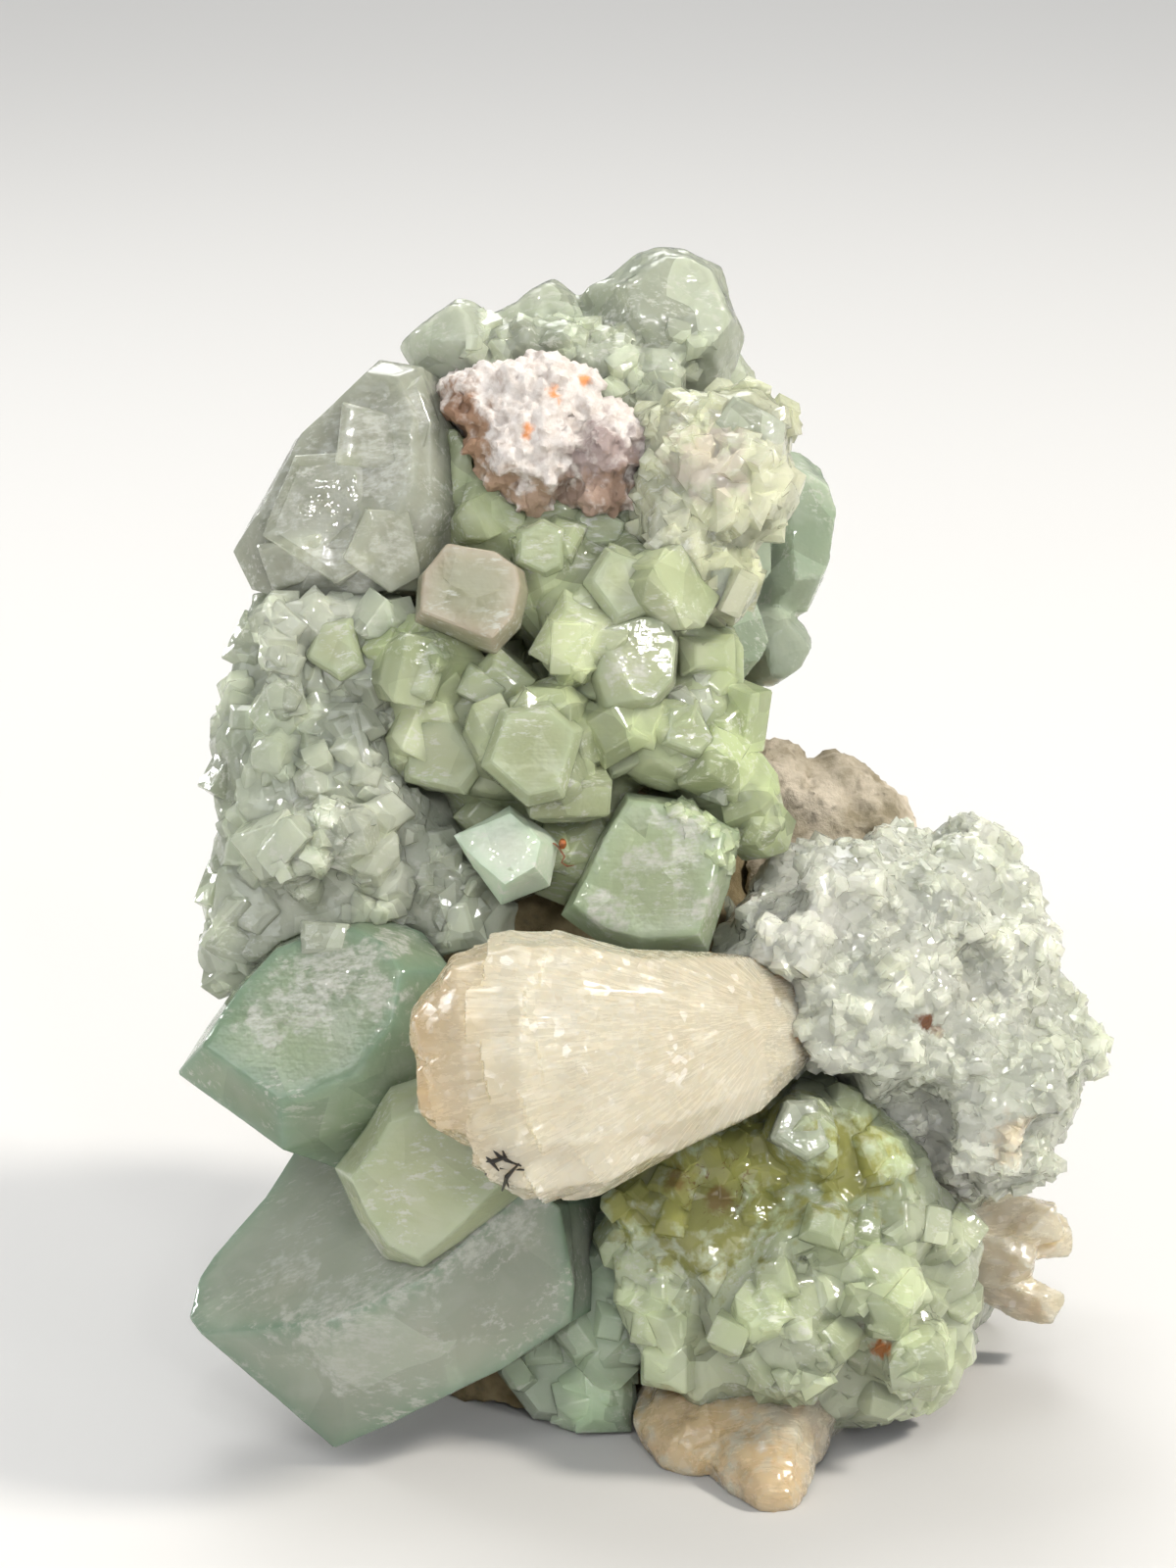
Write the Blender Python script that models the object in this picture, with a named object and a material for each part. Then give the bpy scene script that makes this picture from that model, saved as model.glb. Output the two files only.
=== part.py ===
"""A cluster of green apophyllite crystals with stilbite, a white druse crust and its host rock.

Each crystal is placed by how it shows from the front. Its outline is read as pixels of a
1200 x 1600 picture. Its depth is in millimetres behind the picture plane, which passes through
the middle of the cluster and faces a viewer who looks down by VIEW_PITCH.
Crystals that grew into each other are fused, and each node keeps a hair of clearance to its
neighbours. Metres, +Z up, the surface it stands on at z = 0.
"""

import math
import random

import bmesh
import bpy
from mathutils import Matrix, Vector, noise

MM = 0.001

# The picture plane. The pixel size sets the real size: the cluster stands 98 mm tall.
PIXEL_MM = 0.082
PICTURE_CENTRE = (600, 800)
VIEW_DISTANCE_MM = 320.0
VIEW_PITCH = math.radians(16)
CENTRE_HEIGHT_MM = 55.8
FRAME_SHIFT_MM = (5.1, 7.0)

CLEARANCE_MM = 0.3
FLAT_ANGLE = math.radians(1.0)
WELD = 0.000002
SEED = 7

MATERIALS = {
    "clear_apophyllite": ((0.66, 0.74, 0.67), 0.12),
    "green_apophyllite": ((0.46, 0.62, 0.46), 0.14),
    "yellow_apophyllite": ((0.58, 0.62, 0.40), 0.18),
    "sugary_apophyllite": ((0.74, 0.78, 0.72), 0.35),
    "stilbite": ((0.88, 0.76, 0.62), 0.38),
    "druse": ((0.86, 0.80, 0.78), 0.75),
    "rock": ((0.50, 0.42, 0.32), 0.90),
}

RIGHT = Vector((1, 0, 0))
UPWARD = Vector((0, math.sin(VIEW_PITCH), math.cos(VIEW_PITCH)))
AWAY = Vector((0, math.cos(VIEW_PITCH), -math.sin(VIEW_PITCH)))

# Outlines of the crystals, as pixels
OUTLINE = {
    "left plate": [
        (240, 563), (270, 510), (303, 450), (350, 405), (388, 369), (430, 375),
        (452, 430), (452, 520), (405, 600), (300, 612), (258, 600)],
    "left plate step": [
        (330, 470), (355, 452), (385, 415), (430, 385), (446, 430), (446, 520), (400, 594),
        (310, 600)],
    "top left": [
        (410, 355), (445, 320), (470, 306), (484, 308), (497, 329), (505, 385), (430, 385)],
    "mid top": [
        (497, 329), (530, 308), (565, 288), (583, 302), (604, 340), (590, 385), (505, 380)],
    "summit": [
        (600, 296), (620, 288), (650, 262), (672, 254), (697, 255), (735, 273), (748, 325),
        (757, 345), (750, 372), (737, 397), (690, 400), (612, 350)],
    "glass bit 1": [(500, 345), (545, 325), (562, 360), (515, 380)],
    "glass bit 2": [(545, 325), (600, 335), (605, 378), (560, 368)],
    "glass bit 3": [(600, 330), (650, 350), (656, 398), (605, 390)],
    "glass bit 4": [(650, 352), (695, 378), (690, 418), (655, 410)],
    "glass bit 5": [(600, 385), (640, 390), (650, 425), (608, 425)],
    "shoulder": [
        (740, 398), (770, 395), (800, 412), (809, 424), (803, 455), (806, 525), (790, 545),
        (735, 560), (690, 540), (656, 480), (655, 425), (690, 405)],
    "shoulder low": [(690, 540), (735, 552), (772, 570), (765, 610), (748, 642), (705, 625)],
    "shoulder step": [(655, 490), (700, 500), (728, 545), (700, 590), (660, 560)],
    "back right": [
        (790, 458), (815, 463), (836, 480), (847, 515), (838, 590), (822, 622), (785, 625),
        (775, 540)],
    "back right low": [
        (755, 640), (790, 615), (818, 638), (827, 655), (812, 680), (785, 699), (765, 695)],
    "flank top": [
        (262, 612), (300, 600), (400, 596), (422, 690), (402, 750), (300, 745), (230, 727),
        (242, 680)],
    "flank middle": [
        (217, 760), (232, 722), (300, 712), (378, 718), (402, 810), (340, 865), (227, 855)],
    "flank low": [
        (205, 980), (208, 905), (227, 840), (330, 845), (420, 835), (446, 900), (410, 955),
        (290, 990), (222, 1008)],
    "flank teal": [(400, 860), (450, 848), (500, 895), (528, 925), (522, 965), (440, 968), (402, 930)],
    "olive zone": [(318, 618), (372, 608), (408, 622), (408, 690), (385, 714), (335, 702)],
    "ledge 1": [(272, 622), (318, 615), (320, 650), (276, 656)],
    "ledge 2": [(276, 654), (309, 650), (306, 692), (279, 694)],
    "ledge 3": [(281, 692), (303, 690), (300, 733), (287, 733)],
    "pink block": [
        (428, 590), (455, 557), (510, 566), (534, 584), (538, 604), (530, 640), (506, 665),
        (425, 634)],
    "pink bud": [(420, 545), (440, 533), (460, 548), (452, 580), (424, 576)],
    "green bud": [(385, 650), (425, 635), (470, 660), (472, 690), (440, 712), (394, 712)],
    "yellow face": [
        (402, 745), (440, 715), (480, 688), (515, 692), (530, 812), (450, 806), (404, 792)],
    "hex crystal": [
        (490, 762), (500, 742), (525, 715), (570, 700), (590, 745), (603, 812), (575, 828),
        (540, 820)],
    "clear crystal": [(555, 645), (565, 610), (600, 582), (630, 610), (605, 692), (575, 680)],
    "pale facet": [(600, 585), (640, 545), (690, 560), (722, 612), (690, 645), (635, 640)],
    "peach patch": [(598, 715), (660, 726), (665, 758), (600, 752)],
    "field top": [
        (452, 430), (510, 490), (600, 512), (664, 515), (668, 560), (600, 590), (540, 590),
        (470, 560), (445, 500)],
    "field right": [(530, 535), (592, 528), (604, 585), (566, 645), (535, 620)],
    "sparkle face": [(640, 730), (700, 690), (742, 705), (752, 745), (742, 792), (680, 805), (640, 785)],
    "right corner": [(690, 625), (748, 640), (752, 705), (770, 742), (745, 775), (700, 745)],
    "teal blob 1": [(705, 778), (745, 762), (778, 788), (772, 822), (712, 818)],
    "teal blob 2": [(748, 803), (788, 812), (800, 848), (765, 868), (742, 840)],
    "field low": [
        (450, 795), (520, 805), (600, 815), (650, 790), (640, 850), (590, 905), (540, 905),
        (480, 860)],
    "pale cube": [
        (606, 640), (650, 627), (680, 628), (691, 655), (688, 700), (665, 725), (617, 724),
        (605, 690)],
    "mint point": [
        (465, 853), (495, 838), (520, 824), (557, 850), (568, 862), (560, 903), (512, 921),
        (485, 885)],
    "big rhomb": [
        (640, 810), (700, 818), (753, 850), (742, 905), (722, 970), (655, 973), (612, 960),
        (574, 933), (590, 903), (612, 855)],
    "green block": [
        (183, 1095), (215, 1045), (238, 1013), (285, 963), (320, 948), (385, 933), (430, 952),
        (460, 992), (446, 1065), (395, 1132), (330, 1160), (290, 1172)],
    "yellow cube": [
        (343, 1192), (375, 1150), (400, 1110), (430, 1100), (520, 1110), (550, 1200),
        (480, 1270), (437, 1304), (395, 1285), (367, 1245)],
    "great blade": [
        (240, 1145), (235, 1225), (208, 1285), (201, 1343), (250, 1388), (345, 1474),
        (400, 1450), (517, 1393), (583, 1347), (587, 1310), (580, 1228), (540, 1195),
        (400, 1130)],
    "small gem": [
        (780, 1150), (805, 1120), (835, 1125), (853, 1150), (853, 1198), (825, 1192),
        (798, 1178)],
    "fan top": [
        (622, 1225), (700, 1160), (800, 1120), (880, 1110), (945, 1175), (960, 1260),
        (900, 1330), (780, 1345), (690, 1310)],
    "fan left": [
        (618, 1242), (655, 1235), (690, 1290), (712, 1330), (725, 1440), (700, 1425),
        (665, 1395), (632, 1300)],
    "fan middle": [
        (690, 1290), (745, 1285), (800, 1330), (840, 1400), (850, 1452), (750, 1446),
        (706, 1425)],
    "fan right": [
        (790, 1290), (880, 1260), (930, 1330), (945, 1438), (870, 1451), (820, 1448)],
    "fan side": [
        (880, 1230), (960, 1215), (1000, 1270), (992, 1345), (957, 1436), (910, 1440)],
    "teal low": [(985, 1295), (1015, 1285), (1040, 1310), (1035, 1345), (1015, 1365), (960, 1390)],
    "base left": [(510, 1400), (525, 1352), (575, 1335), (640, 1352), (650, 1440), (600, 1455), (545, 1446)],
    "base top": [(578, 1252), (625, 1236), (650, 1300), (660, 1380), (620, 1420), (575, 1380)],
    "rim crystal": [(885, 805), (905, 800), (950, 822), (963, 840), (930, 870), (885, 860)],
}

# Where crystals grow from: pixel u, v and depth in mm
ROOT = {
    "top": (600, 440, 22),
    "far upper": (720, 600, 30),
    "upper": (585, 520, 18),
    "upper left": (500, 540, 17),
    "middle": (570, 740, 18),
    "left": (430, 820, 16),
    "waist": (640, 920, 17),
    "behind pink": (480, 640, 15),
    "behind mint": (530, 890, 15),
    "low left": (480, 1140, 16),
    "low": (560, 1260, 18),
    "right": (860, 1060, 18),
    "low right": (800, 1290, 18),
}

# Lumps: pixel u, v and depth in mm of the middle, then half sizes in mm right, up and away
ROCK_LUMPS = [
    (580, 540, 17, 12.0, 13.0, 8.0),
    (560, 720, 19, 16.0, 14.0, 11.0),
    (590, 930, 18, 17.0, 14.0, 12.0),
    (500, 1130, 19, 13.0, 13.0, 9.0),
    (790, 1090, 20, 19.0, 16.0, 15.0),
    (760, 1300, 21, 21.0, 16.0, 14.0),
    (560, 1340, 22, 15.0, 14.0, 12.0),
]
PALE_ROCK_LUMPS = [
    (780, 810, 21, 5.5, 5.2, 6.0),
    (850, 845, 22, 7.5, 5.6, 7.0),
    (820, 900, 20, 8.0, 7.0, 7.0),
]
DRUSE_LUMPS = [
    (478, 408, 2.5, 2.4, 2.8, 3.2),
    (512, 412, 1.5, 4.2, 3.8, 4.0),
    (565, 402, 1.5, 4.2, 3.2, 3.8),
    (540, 455, 1.0, 4.6, 4.6, 4.2),
    (540, 500, 2.0, 2.6, 2.2, 3.0),
    (612, 455, 1.5, 4.6, 3.4, 3.8),
    (615, 492, 2.0, 4.0, 3.2, 3.6),
]
DOME_LOBES = [
    (852, 988, 2, 7.9, 9.0, 9.4, 20),
    (962, 945, 8, 8.2, 7.2, 11.2, 18),
    (1005, 1095, 8, 6.8, 8.8, 11.2, 20),
    (950, 1030, 25, 9.0, 9.0, 8.2, 13),
]

DOME_CRYSTAL_MM = 5.6

# Crystals of the unseen sides and back grow out of these spots: pixel u, v and depth in mm,
# half sizes in mm right, up and away, directions around the spot, crystal width in mm, and
# the range of how far they look away from the viewer
BACK_SPOTS = {
    "top": [
        (585, 480, 19, 10.0, 11.0, 7.0, 15, 10.5, (0.0, 0.95)),
        (460, 530, 16, 8.5, 8.5, 5.0, 9, 9.5, (0.2, 1.0)),
        (610, 650, 22, 10.0, 9.0, 8.0, 11, 10.0, (0.3, 0.9)),
    ],
    "left": [
        (400, 820, 14, 9.0, 13.0, 6.0, 13, 11.0, (0.1, 1.0)),
        (450, 1010, 18, 11.0, 11.0, 8.0, 12, 11.0, (0.2, 1.0)),
        (455, 1200, 17, 10.0, 9.0, 8.0, 11, 10.0, (0.2, 1.0)),
    ],
    "low": [
        (850, 1200, 25, 12.0, 13.0, 11.0, 16, 11.5, (0.2, 0.9)),
        (905, 1310, 21, 7.5, 8.0, 8.0, 9, 9.5, (0.0, 0.9)),
    ],
    "right": [
        (675, 600, 12, 5.5, 11.0, 6.0, 12, 8.0, (-0.3, 0.8)),
    ],
}
BACK_TIP_MM = 1.2

# Blades of the small sprig and of the spray on the back: pixel u, v and depth in mm of the
# tip, then the width in mm
SPRIG_ROOT = (950, 1275, 20)
SPRIG_BLADES = [
    (1048, 1228, 22, 4.0),
    (1076, 1238, 19, 4.0),
    (1090, 1258, 20, 3.4),
    (1052, 1290, 18, 4.4),
    (1074, 1342, 20, 3.6),
    (1030, 1325, 22, 4.2),
]
SPRAY_ROOT = (700, 830, 27)
SPRAY_BLADES = [
    (640, 700, 38, 5.0),
    (700, 690, 40, 5.0),
    (760, 720, 39, 5.0),
    (800, 780, 38, 4.6),
]

# The sheafs of stilbite: pixel u, v, depth in mm, half width and half thickness in mm
FOOT_STATIONS = [
    (762, 1405, 14, 8.6, 3.0),
    (762, 1432, 9, 9.6, 4.2),
    (766, 1462, 4, 7.4, 3.8),
    (778, 1492, 0, 4.6, 3.2),
    (787, 1516, -4, 2.8, 2.2),
    (791, 1534, -6, 1.4, 1.2),
]
FOOT_LOBE = [
    (700, 1420, 12, 4.0, 2.6),
    (700, 1450, 6, 4.2, 3.0),
    (716, 1476, 2, 3.4, 2.6),
    (730, 1492, 0, 1.8, 1.6),
]
SHEAF_STATIONS = [
    (820, 1028, 2, 3.0, 2.6),
    (780, 1040, -3, 5.2, 3.8),
    (735, 1058, -8, 7.0, 4.8),
    (655, 1077, -12, 8.5, 6.0),
    (575, 1082, -14, 10.2, 7.0),
    (520, 1082, -15, 10.0, 7.2),
    (480, 1082, -15, 8.2, 6.4),
    (450, 1092, -15, 5.0, 4.6),
    (434, 1098, -15, 2.0, 2.0),
]
SHEAF_LOBE_LOW = [
    (740, 1085, -8, 2.6, 3.0),
    (660, 1120, -12, 5.0, 4.5),
    (590, 1150, -15, 5.6, 5.0),
    (530, 1165, -16, 4.4, 4.2),
    (488, 1160, -16, 2.2, 2.4),
]
SHEAF_LOBE_LEFT = [
    (640, 1085, -12, 4.0, 4.5),
    (540, 1100, -15, 5.6, 5.2),
    (470, 1108, -16, 4.6, 4.4),
    (430, 1112, -16, 2.0, 2.2),
]


# Places

def seen(u, v, depth_mm):
    """The point that shows at pixel u, v and lies depth_mm behind the picture plane."""
    reach = 1 + depth_mm / VIEW_DISTANCE_MM
    right = (u - PICTURE_CENTRE[0]) * PIXEL_MM * reach
    up = (PICTURE_CENTRE[1] - v) * PIXEL_MM * reach
    corner = Vector((-FRAME_SHIFT_MM[0], -FRAME_SHIFT_MM[1], CENTRE_HEIGHT_MM))
    return (corner + RIGHT * right + UPWARD * up + AWAY * depth_mm) * MM


def looking(right_degrees, up_degrees):
    """The direction of a face that looks at the viewer, turned right and up by these angles."""
    right = math.tan(math.radians(right_degrees))
    up = math.tan(math.radians(up_degrees))
    return (RIGHT * right + UPWARD * up - AWAY).normalized()


def seen_on_plane(u, v, point, normal):
    """Where the line of sight through pixel u, v meets the plane."""
    near = seen(u, v, 0)
    step = seen(u, v, 1) - near
    return near + step * ((point - near).dot(normal) / step.dot(normal))


# Single crystals, as meshes

def as_mesh(bm):
    bmesh.ops.recalc_face_normals(bm, faces=bm.faces)
    mesh = bpy.data.meshes.new("member")
    bm.to_mesh(mesh)
    bm.free()
    return mesh


def trim(bm, point, outward):
    """Cut away what lies beyond the plane and close the cut with one flat face."""
    geometry = bm.verts[:] + bm.edges[:] + bm.faces[:]
    cut = bmesh.ops.bisect_plane(
        bm, geom=geometry, dist=1e-7, plane_co=point, plane_no=outward, clear_outer=True)
    rim = [item for item in cut["geom_cut"] if isinstance(item, bmesh.types.BMEdge)]
    if rim:
        bmesh.ops.contextual_create(bm, geom=rim)


def skin_rings(bm, rings):
    """Join rings of equal length, root first, and close both ends. A ring of one is a point."""
    made = [[bm.verts.new(point) for point in ring] for ring in rings]
    for low, high in zip(made, made[1:]):
        count = len(low)
        for index in range(count):
            after = (index + 1) % count
            if len(high) == 1:
                bm.faces.new((low[index], low[after], high[0]))
            else:
                bm.faces.new((low[index], low[after], high[after], high[index]))
    bm.faces.new(list(reversed(made[0])))
    if len(made[-1]) > 1:
        bm.faces.new(made[-1])


def gem(name, depth, root, turn=(0, 0), focus=None, crown=0.6, rise=2.0, foot=0.45, cuts=()):
    """A crystal with this outline. Its front rises by rise mm to a face crown times as wide,
    and its back narrows to foot times the width at its root."""
    outline = OUTLINE[name]
    middle = tuple(sum(axis) / len(outline) for axis in zip(*outline))
    normal = looking(*turn)
    centre = seen(*middle, depth)
    girdle = [seen_on_plane(u, v, centre, normal) for u, v in outline]
    target = seen_on_plane(*(focus or middle), centre, normal)
    start = seen(*ROOT[root])
    back = [start + (point - centre) * foot for point in girdle]
    front = [target + (point - target) * crown + normal * rise * MM for point in girdle]
    if crown == 0:
        front = front[:1]
    bm = bmesh.new()
    skin_rings(bm, [back, girdle, front])
    bmesh.ops.recalc_face_normals(bm, faces=bm.faces)
    for cut in cuts:
        first, second, third = (seen(*place) for place in cut)
        outward = (second - first).cross(third - first).normalized()
        if outward.dot(start - first) > 0:
            outward = -outward
        trim(bm, first, outward)
    return as_mesh(bm)


def prism(base, tip, width, ratio=1.0, roll=0.0, flat=0.6, steepness=55.0, corners=4):
    """A square prism from base to tip. Steep faces cut its corners, and a flat face flat
    times its width below their peak ends it."""
    axis = tip - base
    length = axis.length + width * flat
    bm = bmesh.new()
    bmesh.ops.create_cube(bm, size=1.0)
    sizes = Matrix.Diagonal((width, width * ratio, length * 1.2, 1))
    bmesh.ops.transform(bm, matrix=Matrix.Translation((0, 0, length * 0.6)) @ sizes, verts=bm.verts)
    lean = math.radians(90 - steepness)
    peak = Vector((0, 0, length))
    for corner in range(corners):
        around = math.radians(45 + 90 * corner)
        outward = Vector((math.cos(around), math.sin(around), 0)) * math.cos(lean)
        trim(bm, peak, outward + Vector((0, 0, math.sin(lean))))
    trim(bm, Vector((0, 0, axis.length)), Vector((0, 0, 1)))
    turned = axis.to_track_quat("Z", "Y").to_matrix().to_4x4()
    place = Matrix.Translation(base) @ turned @ Matrix.Rotation(roll, 4, "Z")
    bmesh.ops.transform(bm, matrix=place, verts=bm.verts)
    return as_mesh(bm)


def lump(u, v, depth, wide, tall, deep, rough=0.12, grain=0.16, detail=2, seed=0):
    """An uneven ellipsoid. rough is how far its surface strays, as a share of its size."""
    bm = bmesh.new()
    bmesh.ops.create_icosphere(bm, subdivisions=detail, radius=1.0)
    centre = seen(u, v, depth)
    for vert in bm.verts:
        spot = vert.co.copy()
        offset = Vector((seed * 3.1, seed * 1.7, 0))
        stray = noise.noise(spot * 1.6 + offset) + 0.5 * noise.noise(spot / grain * 0.6 + offset)
        spot = spot * (1 + rough * stray * 1.6)
        vert.co = centre + (RIGHT * spot.x * wide + AWAY * spot.y * deep + UPWARD * spot.z * tall) * MM
    return as_mesh(bm)


def studs(u, v, depth, wide, tall, deep, count, size, rng, behind=(-1, 0), tip_mm=0.0,
          corners=1):
    """Small square crystals that point out of an ellipsoid. behind is the range of how far
    they look away from the viewer, from -1 to 1, and tip_mm is added to how far they reach."""
    centre = seen(u, v, depth)
    made = []
    golden = math.pi * (3 - math.sqrt(5))
    for index in range(count):
        height = 1 - 2 * (index + 0.5) / count
        ring = math.sqrt(1 - height * height)
        around = index * golden + rng.uniform(-0.3, 0.3)
        across = ring * math.cos(around)
        away = ring * math.sin(around)
        if not behind[0] <= away <= behind[1]:
            continue
        place = (RIGHT * across * wide + AWAY * away * deep + UPWARD * height * tall) * MM
        jitter = Vector([rng.uniform(-0.5, 0.5) for _ in range(3)])
        outward = (place.normalized() + jitter).normalized()
        width = size * rng.uniform(0.7, 1.35) * MM
        tip = centre + place + outward * (width * rng.uniform(0.15, 0.5) + tip_mm * MM)
        base = centre + place * 0.55
        ratio = rng.uniform(0.6, 1.0)
        roll = rng.uniform(0, 1.6)
        flat = rng.uniform(0.3, 0.8)
        made.append(prism(base, tip, width, ratio, roll, flat, corners=corners))
    return made


def sheaf(stations, points=14, square=2.6):
    """A bundle of blades lofted along its stations, with a flattened round section."""
    rings = []
    places = [seen(u, v, depth) for u, v, depth, _, _ in stations]
    for index, (_, _, _, wide, thick) in enumerate(stations):
        before = places[max(index - 1, 0)]
        after = places[min(index + 1, len(places) - 1)]
        along = (after - before).normalized()
        side = along.cross(AWAY).normalized()
        out = side.cross(along).normalized()
        ring = []
        for step in range(points):
            angle = 2 * math.pi * step / points
            across = math.copysign(abs(math.cos(angle)) ** (2 / square), math.cos(angle))
            up = math.copysign(abs(math.sin(angle)) ** (2 / square), math.sin(angle))
            ring.append(places[index] + (side * across * wide + out * up * thick) * MM)
        rings.append(ring)
    bm = bmesh.new()
    skin_rings(bm, rings)
    return as_mesh(bm)


def grown(mesh, distance):
    """A copy with each face moved out by this distance."""
    bm = bmesh.new()
    bm.from_mesh(mesh)
    bm.normal_update()
    moves = [(vert, vert.normal * distance * min(vert.calc_shell_factor(), 3.0)) for vert in bm.verts]
    for vert, move in moves:
        vert.co += move
    copy = bpy.data.meshes.new("grown")
    bm.to_mesh(copy)
    bm.free()
    return copy


# Joining and carving

def combined(mesh, others, operation):
    """The mesh joined with the others, or with the others carved out of it."""
    if not others:
        return mesh
    shelf = bpy.data.collections.new("tools")
    bpy.context.scene.collection.children.link(shelf)
    for other in others:
        shelf.objects.link(bpy.data.objects.new("tool", other))
    body = bpy.data.objects.new("body", mesh)
    bpy.context.scene.collection.objects.link(body)
    step = body.modifiers.new("Combine", "BOOLEAN")
    step.operation = operation
    step.solver = "EXACT"
    step.operand_type = "COLLECTION"
    step.collection = shelf
    graph = bpy.context.evaluated_depsgraph_get()
    result = bpy.data.meshes.new_from_object(body.evaluated_get(graph))
    for item in list(shelf.objects) + [body]:
        bpy.data.objects.remove(item, do_unlink=True)
    bpy.data.collections.remove(shelf)
    return result


def islands(bm):
    """The faces of each connected piece of the mesh."""
    left = set(bm.faces)
    found = []
    while left:
        piece = set()
        edge_of_search = [left.pop()]
        while edge_of_search:
            face = edge_of_search.pop()
            piece.add(face)
            for edge in face.edges:
                for other in edge.link_faces:
                    if other in left:
                        left.discard(other)
                        edge_of_search.append(other)
        found.append(piece)
    return found


def volume_of(faces):
    total = 0.0
    for face in faces:
        corners = [vert.co for vert in face.verts]
        for second, third in zip(corners[1:], corners[2:]):
            total += corners[0].dot(second.cross(third)) / 6
    return abs(total)


def keep_largest(bm):
    """Drop every connected piece but the one with the most volume."""
    pieces = sorted(islands(bm), key=volume_of, reverse=True)
    extra = [face for piece in pieces[1:] for face in piece]
    bmesh.ops.delete(bm, geom=extra, context="FACES")


def cleaned(mesh):
    """Only the largest piece, with flat regions as single faces and no slivers."""
    bm = bmesh.new()
    bm.from_mesh(mesh)
    bmesh.ops.remove_doubles(bm, verts=bm.verts, dist=WELD)
    bmesh.ops.dissolve_degenerate(bm, edges=bm.edges, dist=WELD)
    keep_largest(bm)
    bmesh.ops.dissolve_limit(
        bm, angle_limit=FLAT_ANGLE, verts=bm.verts, edges=bm.edges, use_dissolve_boundaries=False)
    bmesh.ops.triangulate(bm, faces=bm.faces)
    bmesh.ops.dissolve_degenerate(bm, edges=bm.edges, dist=WELD)
    keep_largest(bm)
    bmesh.ops.recalc_face_normals(bm, faces=bm.faces)
    tidy = bpy.data.meshes.new("tidy")
    bm.to_mesh(tidy)
    bm.free()
    return tidy


def above_ground(mesh):
    """The mesh cut off flat at the surface that the cluster stands on."""
    bm = bmesh.new()
    bm.from_mesh(mesh)
    trim(bm, Vector((0, 0, 0)), Vector((0, 0, -1)))
    return as_mesh(bm)


# The nodes

def matrix_rock():
    shapes = [lump(*place, rough=0.10, detail=2 if number else 1, seed=number)
              for number, place in enumerate(ROCK_LUMPS)]
    return [above_ground(shape) for shape in shapes]


def pale_rock():
    return [lump(*place, rough=0.16, seed=20 + number)
            for number, place in enumerate(PALE_ROCK_LUMPS)]


def druse_crust():
    return [lump(*place, rough=0.16, detail=2 if place[3] > 4.3 else 1, seed=30 + number)
            for number, place in enumerate(DRUSE_LUMPS)]


def stilbite_sheaf():
    return [sheaf(SHEAF_STATIONS, 12), sheaf(SHEAF_LOBE_LOW, 8), sheaf(SHEAF_LOBE_LEFT, 8)]


def great_blade():
    ridge_low = (432, 1306, -6)
    ridge_end = (338, 1348, -4)
    cuts = [
        (ridge_low, (545, 1205, -5), ridge_end),
        (ridge_low, (545, 1205, -5), (520, 1390, 0)),
        (ridge_end, (201, 1343, 1.5), (345, 1472, 1.5)),
        (ridge_low, ridge_end, (400, 1449, 0)),
        ((240, 1150, 3), (208, 1290, 1.5), ridge_low),
    ]
    return [gem("great blade", 4, "low", (-8, 4), crown=0.98, rise=14, foot=0.65, cuts=cuts)]


def green_block():
    cuts = [((183, 1095, -3), (290, 1172, -4), (300, 1115, -9))]
    return [gem("green block", 0, "low left", (-14, 16), (330, 1030), 0.72, 4.0, 0.7, cuts)]


def yellow_cube():
    return [gem("yellow cube", -4, "low", (-10, -8), (440, 1190), 0.7, 4.0, 0.5)]


def mint_point():
    return [gem("mint point", -2, "behind mint", (6, 6), (518, 864), 0.35, 3.6, 0.6)]


def big_rhomb():
    return [gem("big rhomb", 0, "waist", (-6, 8), (668, 885), 0.84, 2.4, 0.5)]


def pale_cube():
    return [gem("pale cube", -2, "middle", (8, 6), None, 0.82, 2.0, 0.6)]


def left_plate():
    return [
        gem("left plate", 3, "upper left", (-18, 12), (375, 450), 0.74, 2.4, 0.7),
        gem("left plate step", 1, "upper left", (-10, 6), None, 0.9, 0.8, 0.4),
    ]


def crown_crystals():
    members = [
        gem("summit", 9, "top", (10, 10), (685, 320), 0.62, 4.0, 0.75),
        gem("top left", 6, "top", (-18, 14), (470, 335), 0.5, 2.4, 0.7),
        gem("mid top", 9, "top", (-6, 16), (560, 320), 0.6, 2.2, 0.75),
    ]
    for number in range(1, 6):
        members.append(gem("glass bit %d" % number, 5, "upper", (number * 8 - 24, 18), None, 0.5, 1.6, 0.6))
    return members


def left_flank(rng):
    members = [
        gem("flank top", 5, "left", (-20, 6), None, 0.84, 2.0, 0.7),
        gem("flank middle", 3, "left", (-16, 10), (330, 770), 0.72, 2.6, 0.7),
        gem("flank low", 4, "left", (-16, -4), (330, 900), 0.7, 3.0, 0.75),
        gem("flank teal", 3, "left", (8, -10), None, 0.7, 2.0, 0.4),
        gem("olive zone", 1, "left", (4, 4), None, 0.8, 1.6, 0.5),
        gem("ledge 1", 0, "left", (-10, 14), None, 0.7, 1.2, 0.5),
        gem("ledge 2", 0, "left", (-14, 0), None, 0.7, 1.0, 0.5),
        gem("ledge 3", 0, "left", (-10, -6), None, 0.6, 1.2, 0.5),
    ]
    members += studs(350, 858, 4, 7.0, 4.4, 7.0, 24, 3.0, rng, (-1, -0.3))
    members += studs(300, 770, 6, 7.2, 5.0, 6.5, 16, 3.0, rng, (-1, -0.4))
    return members


def pink_block():
    return [gem("pink block", -2, "behind pink", (-4, 12), (490, 605), 0.86, 2.2, 0.7)]


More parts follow.
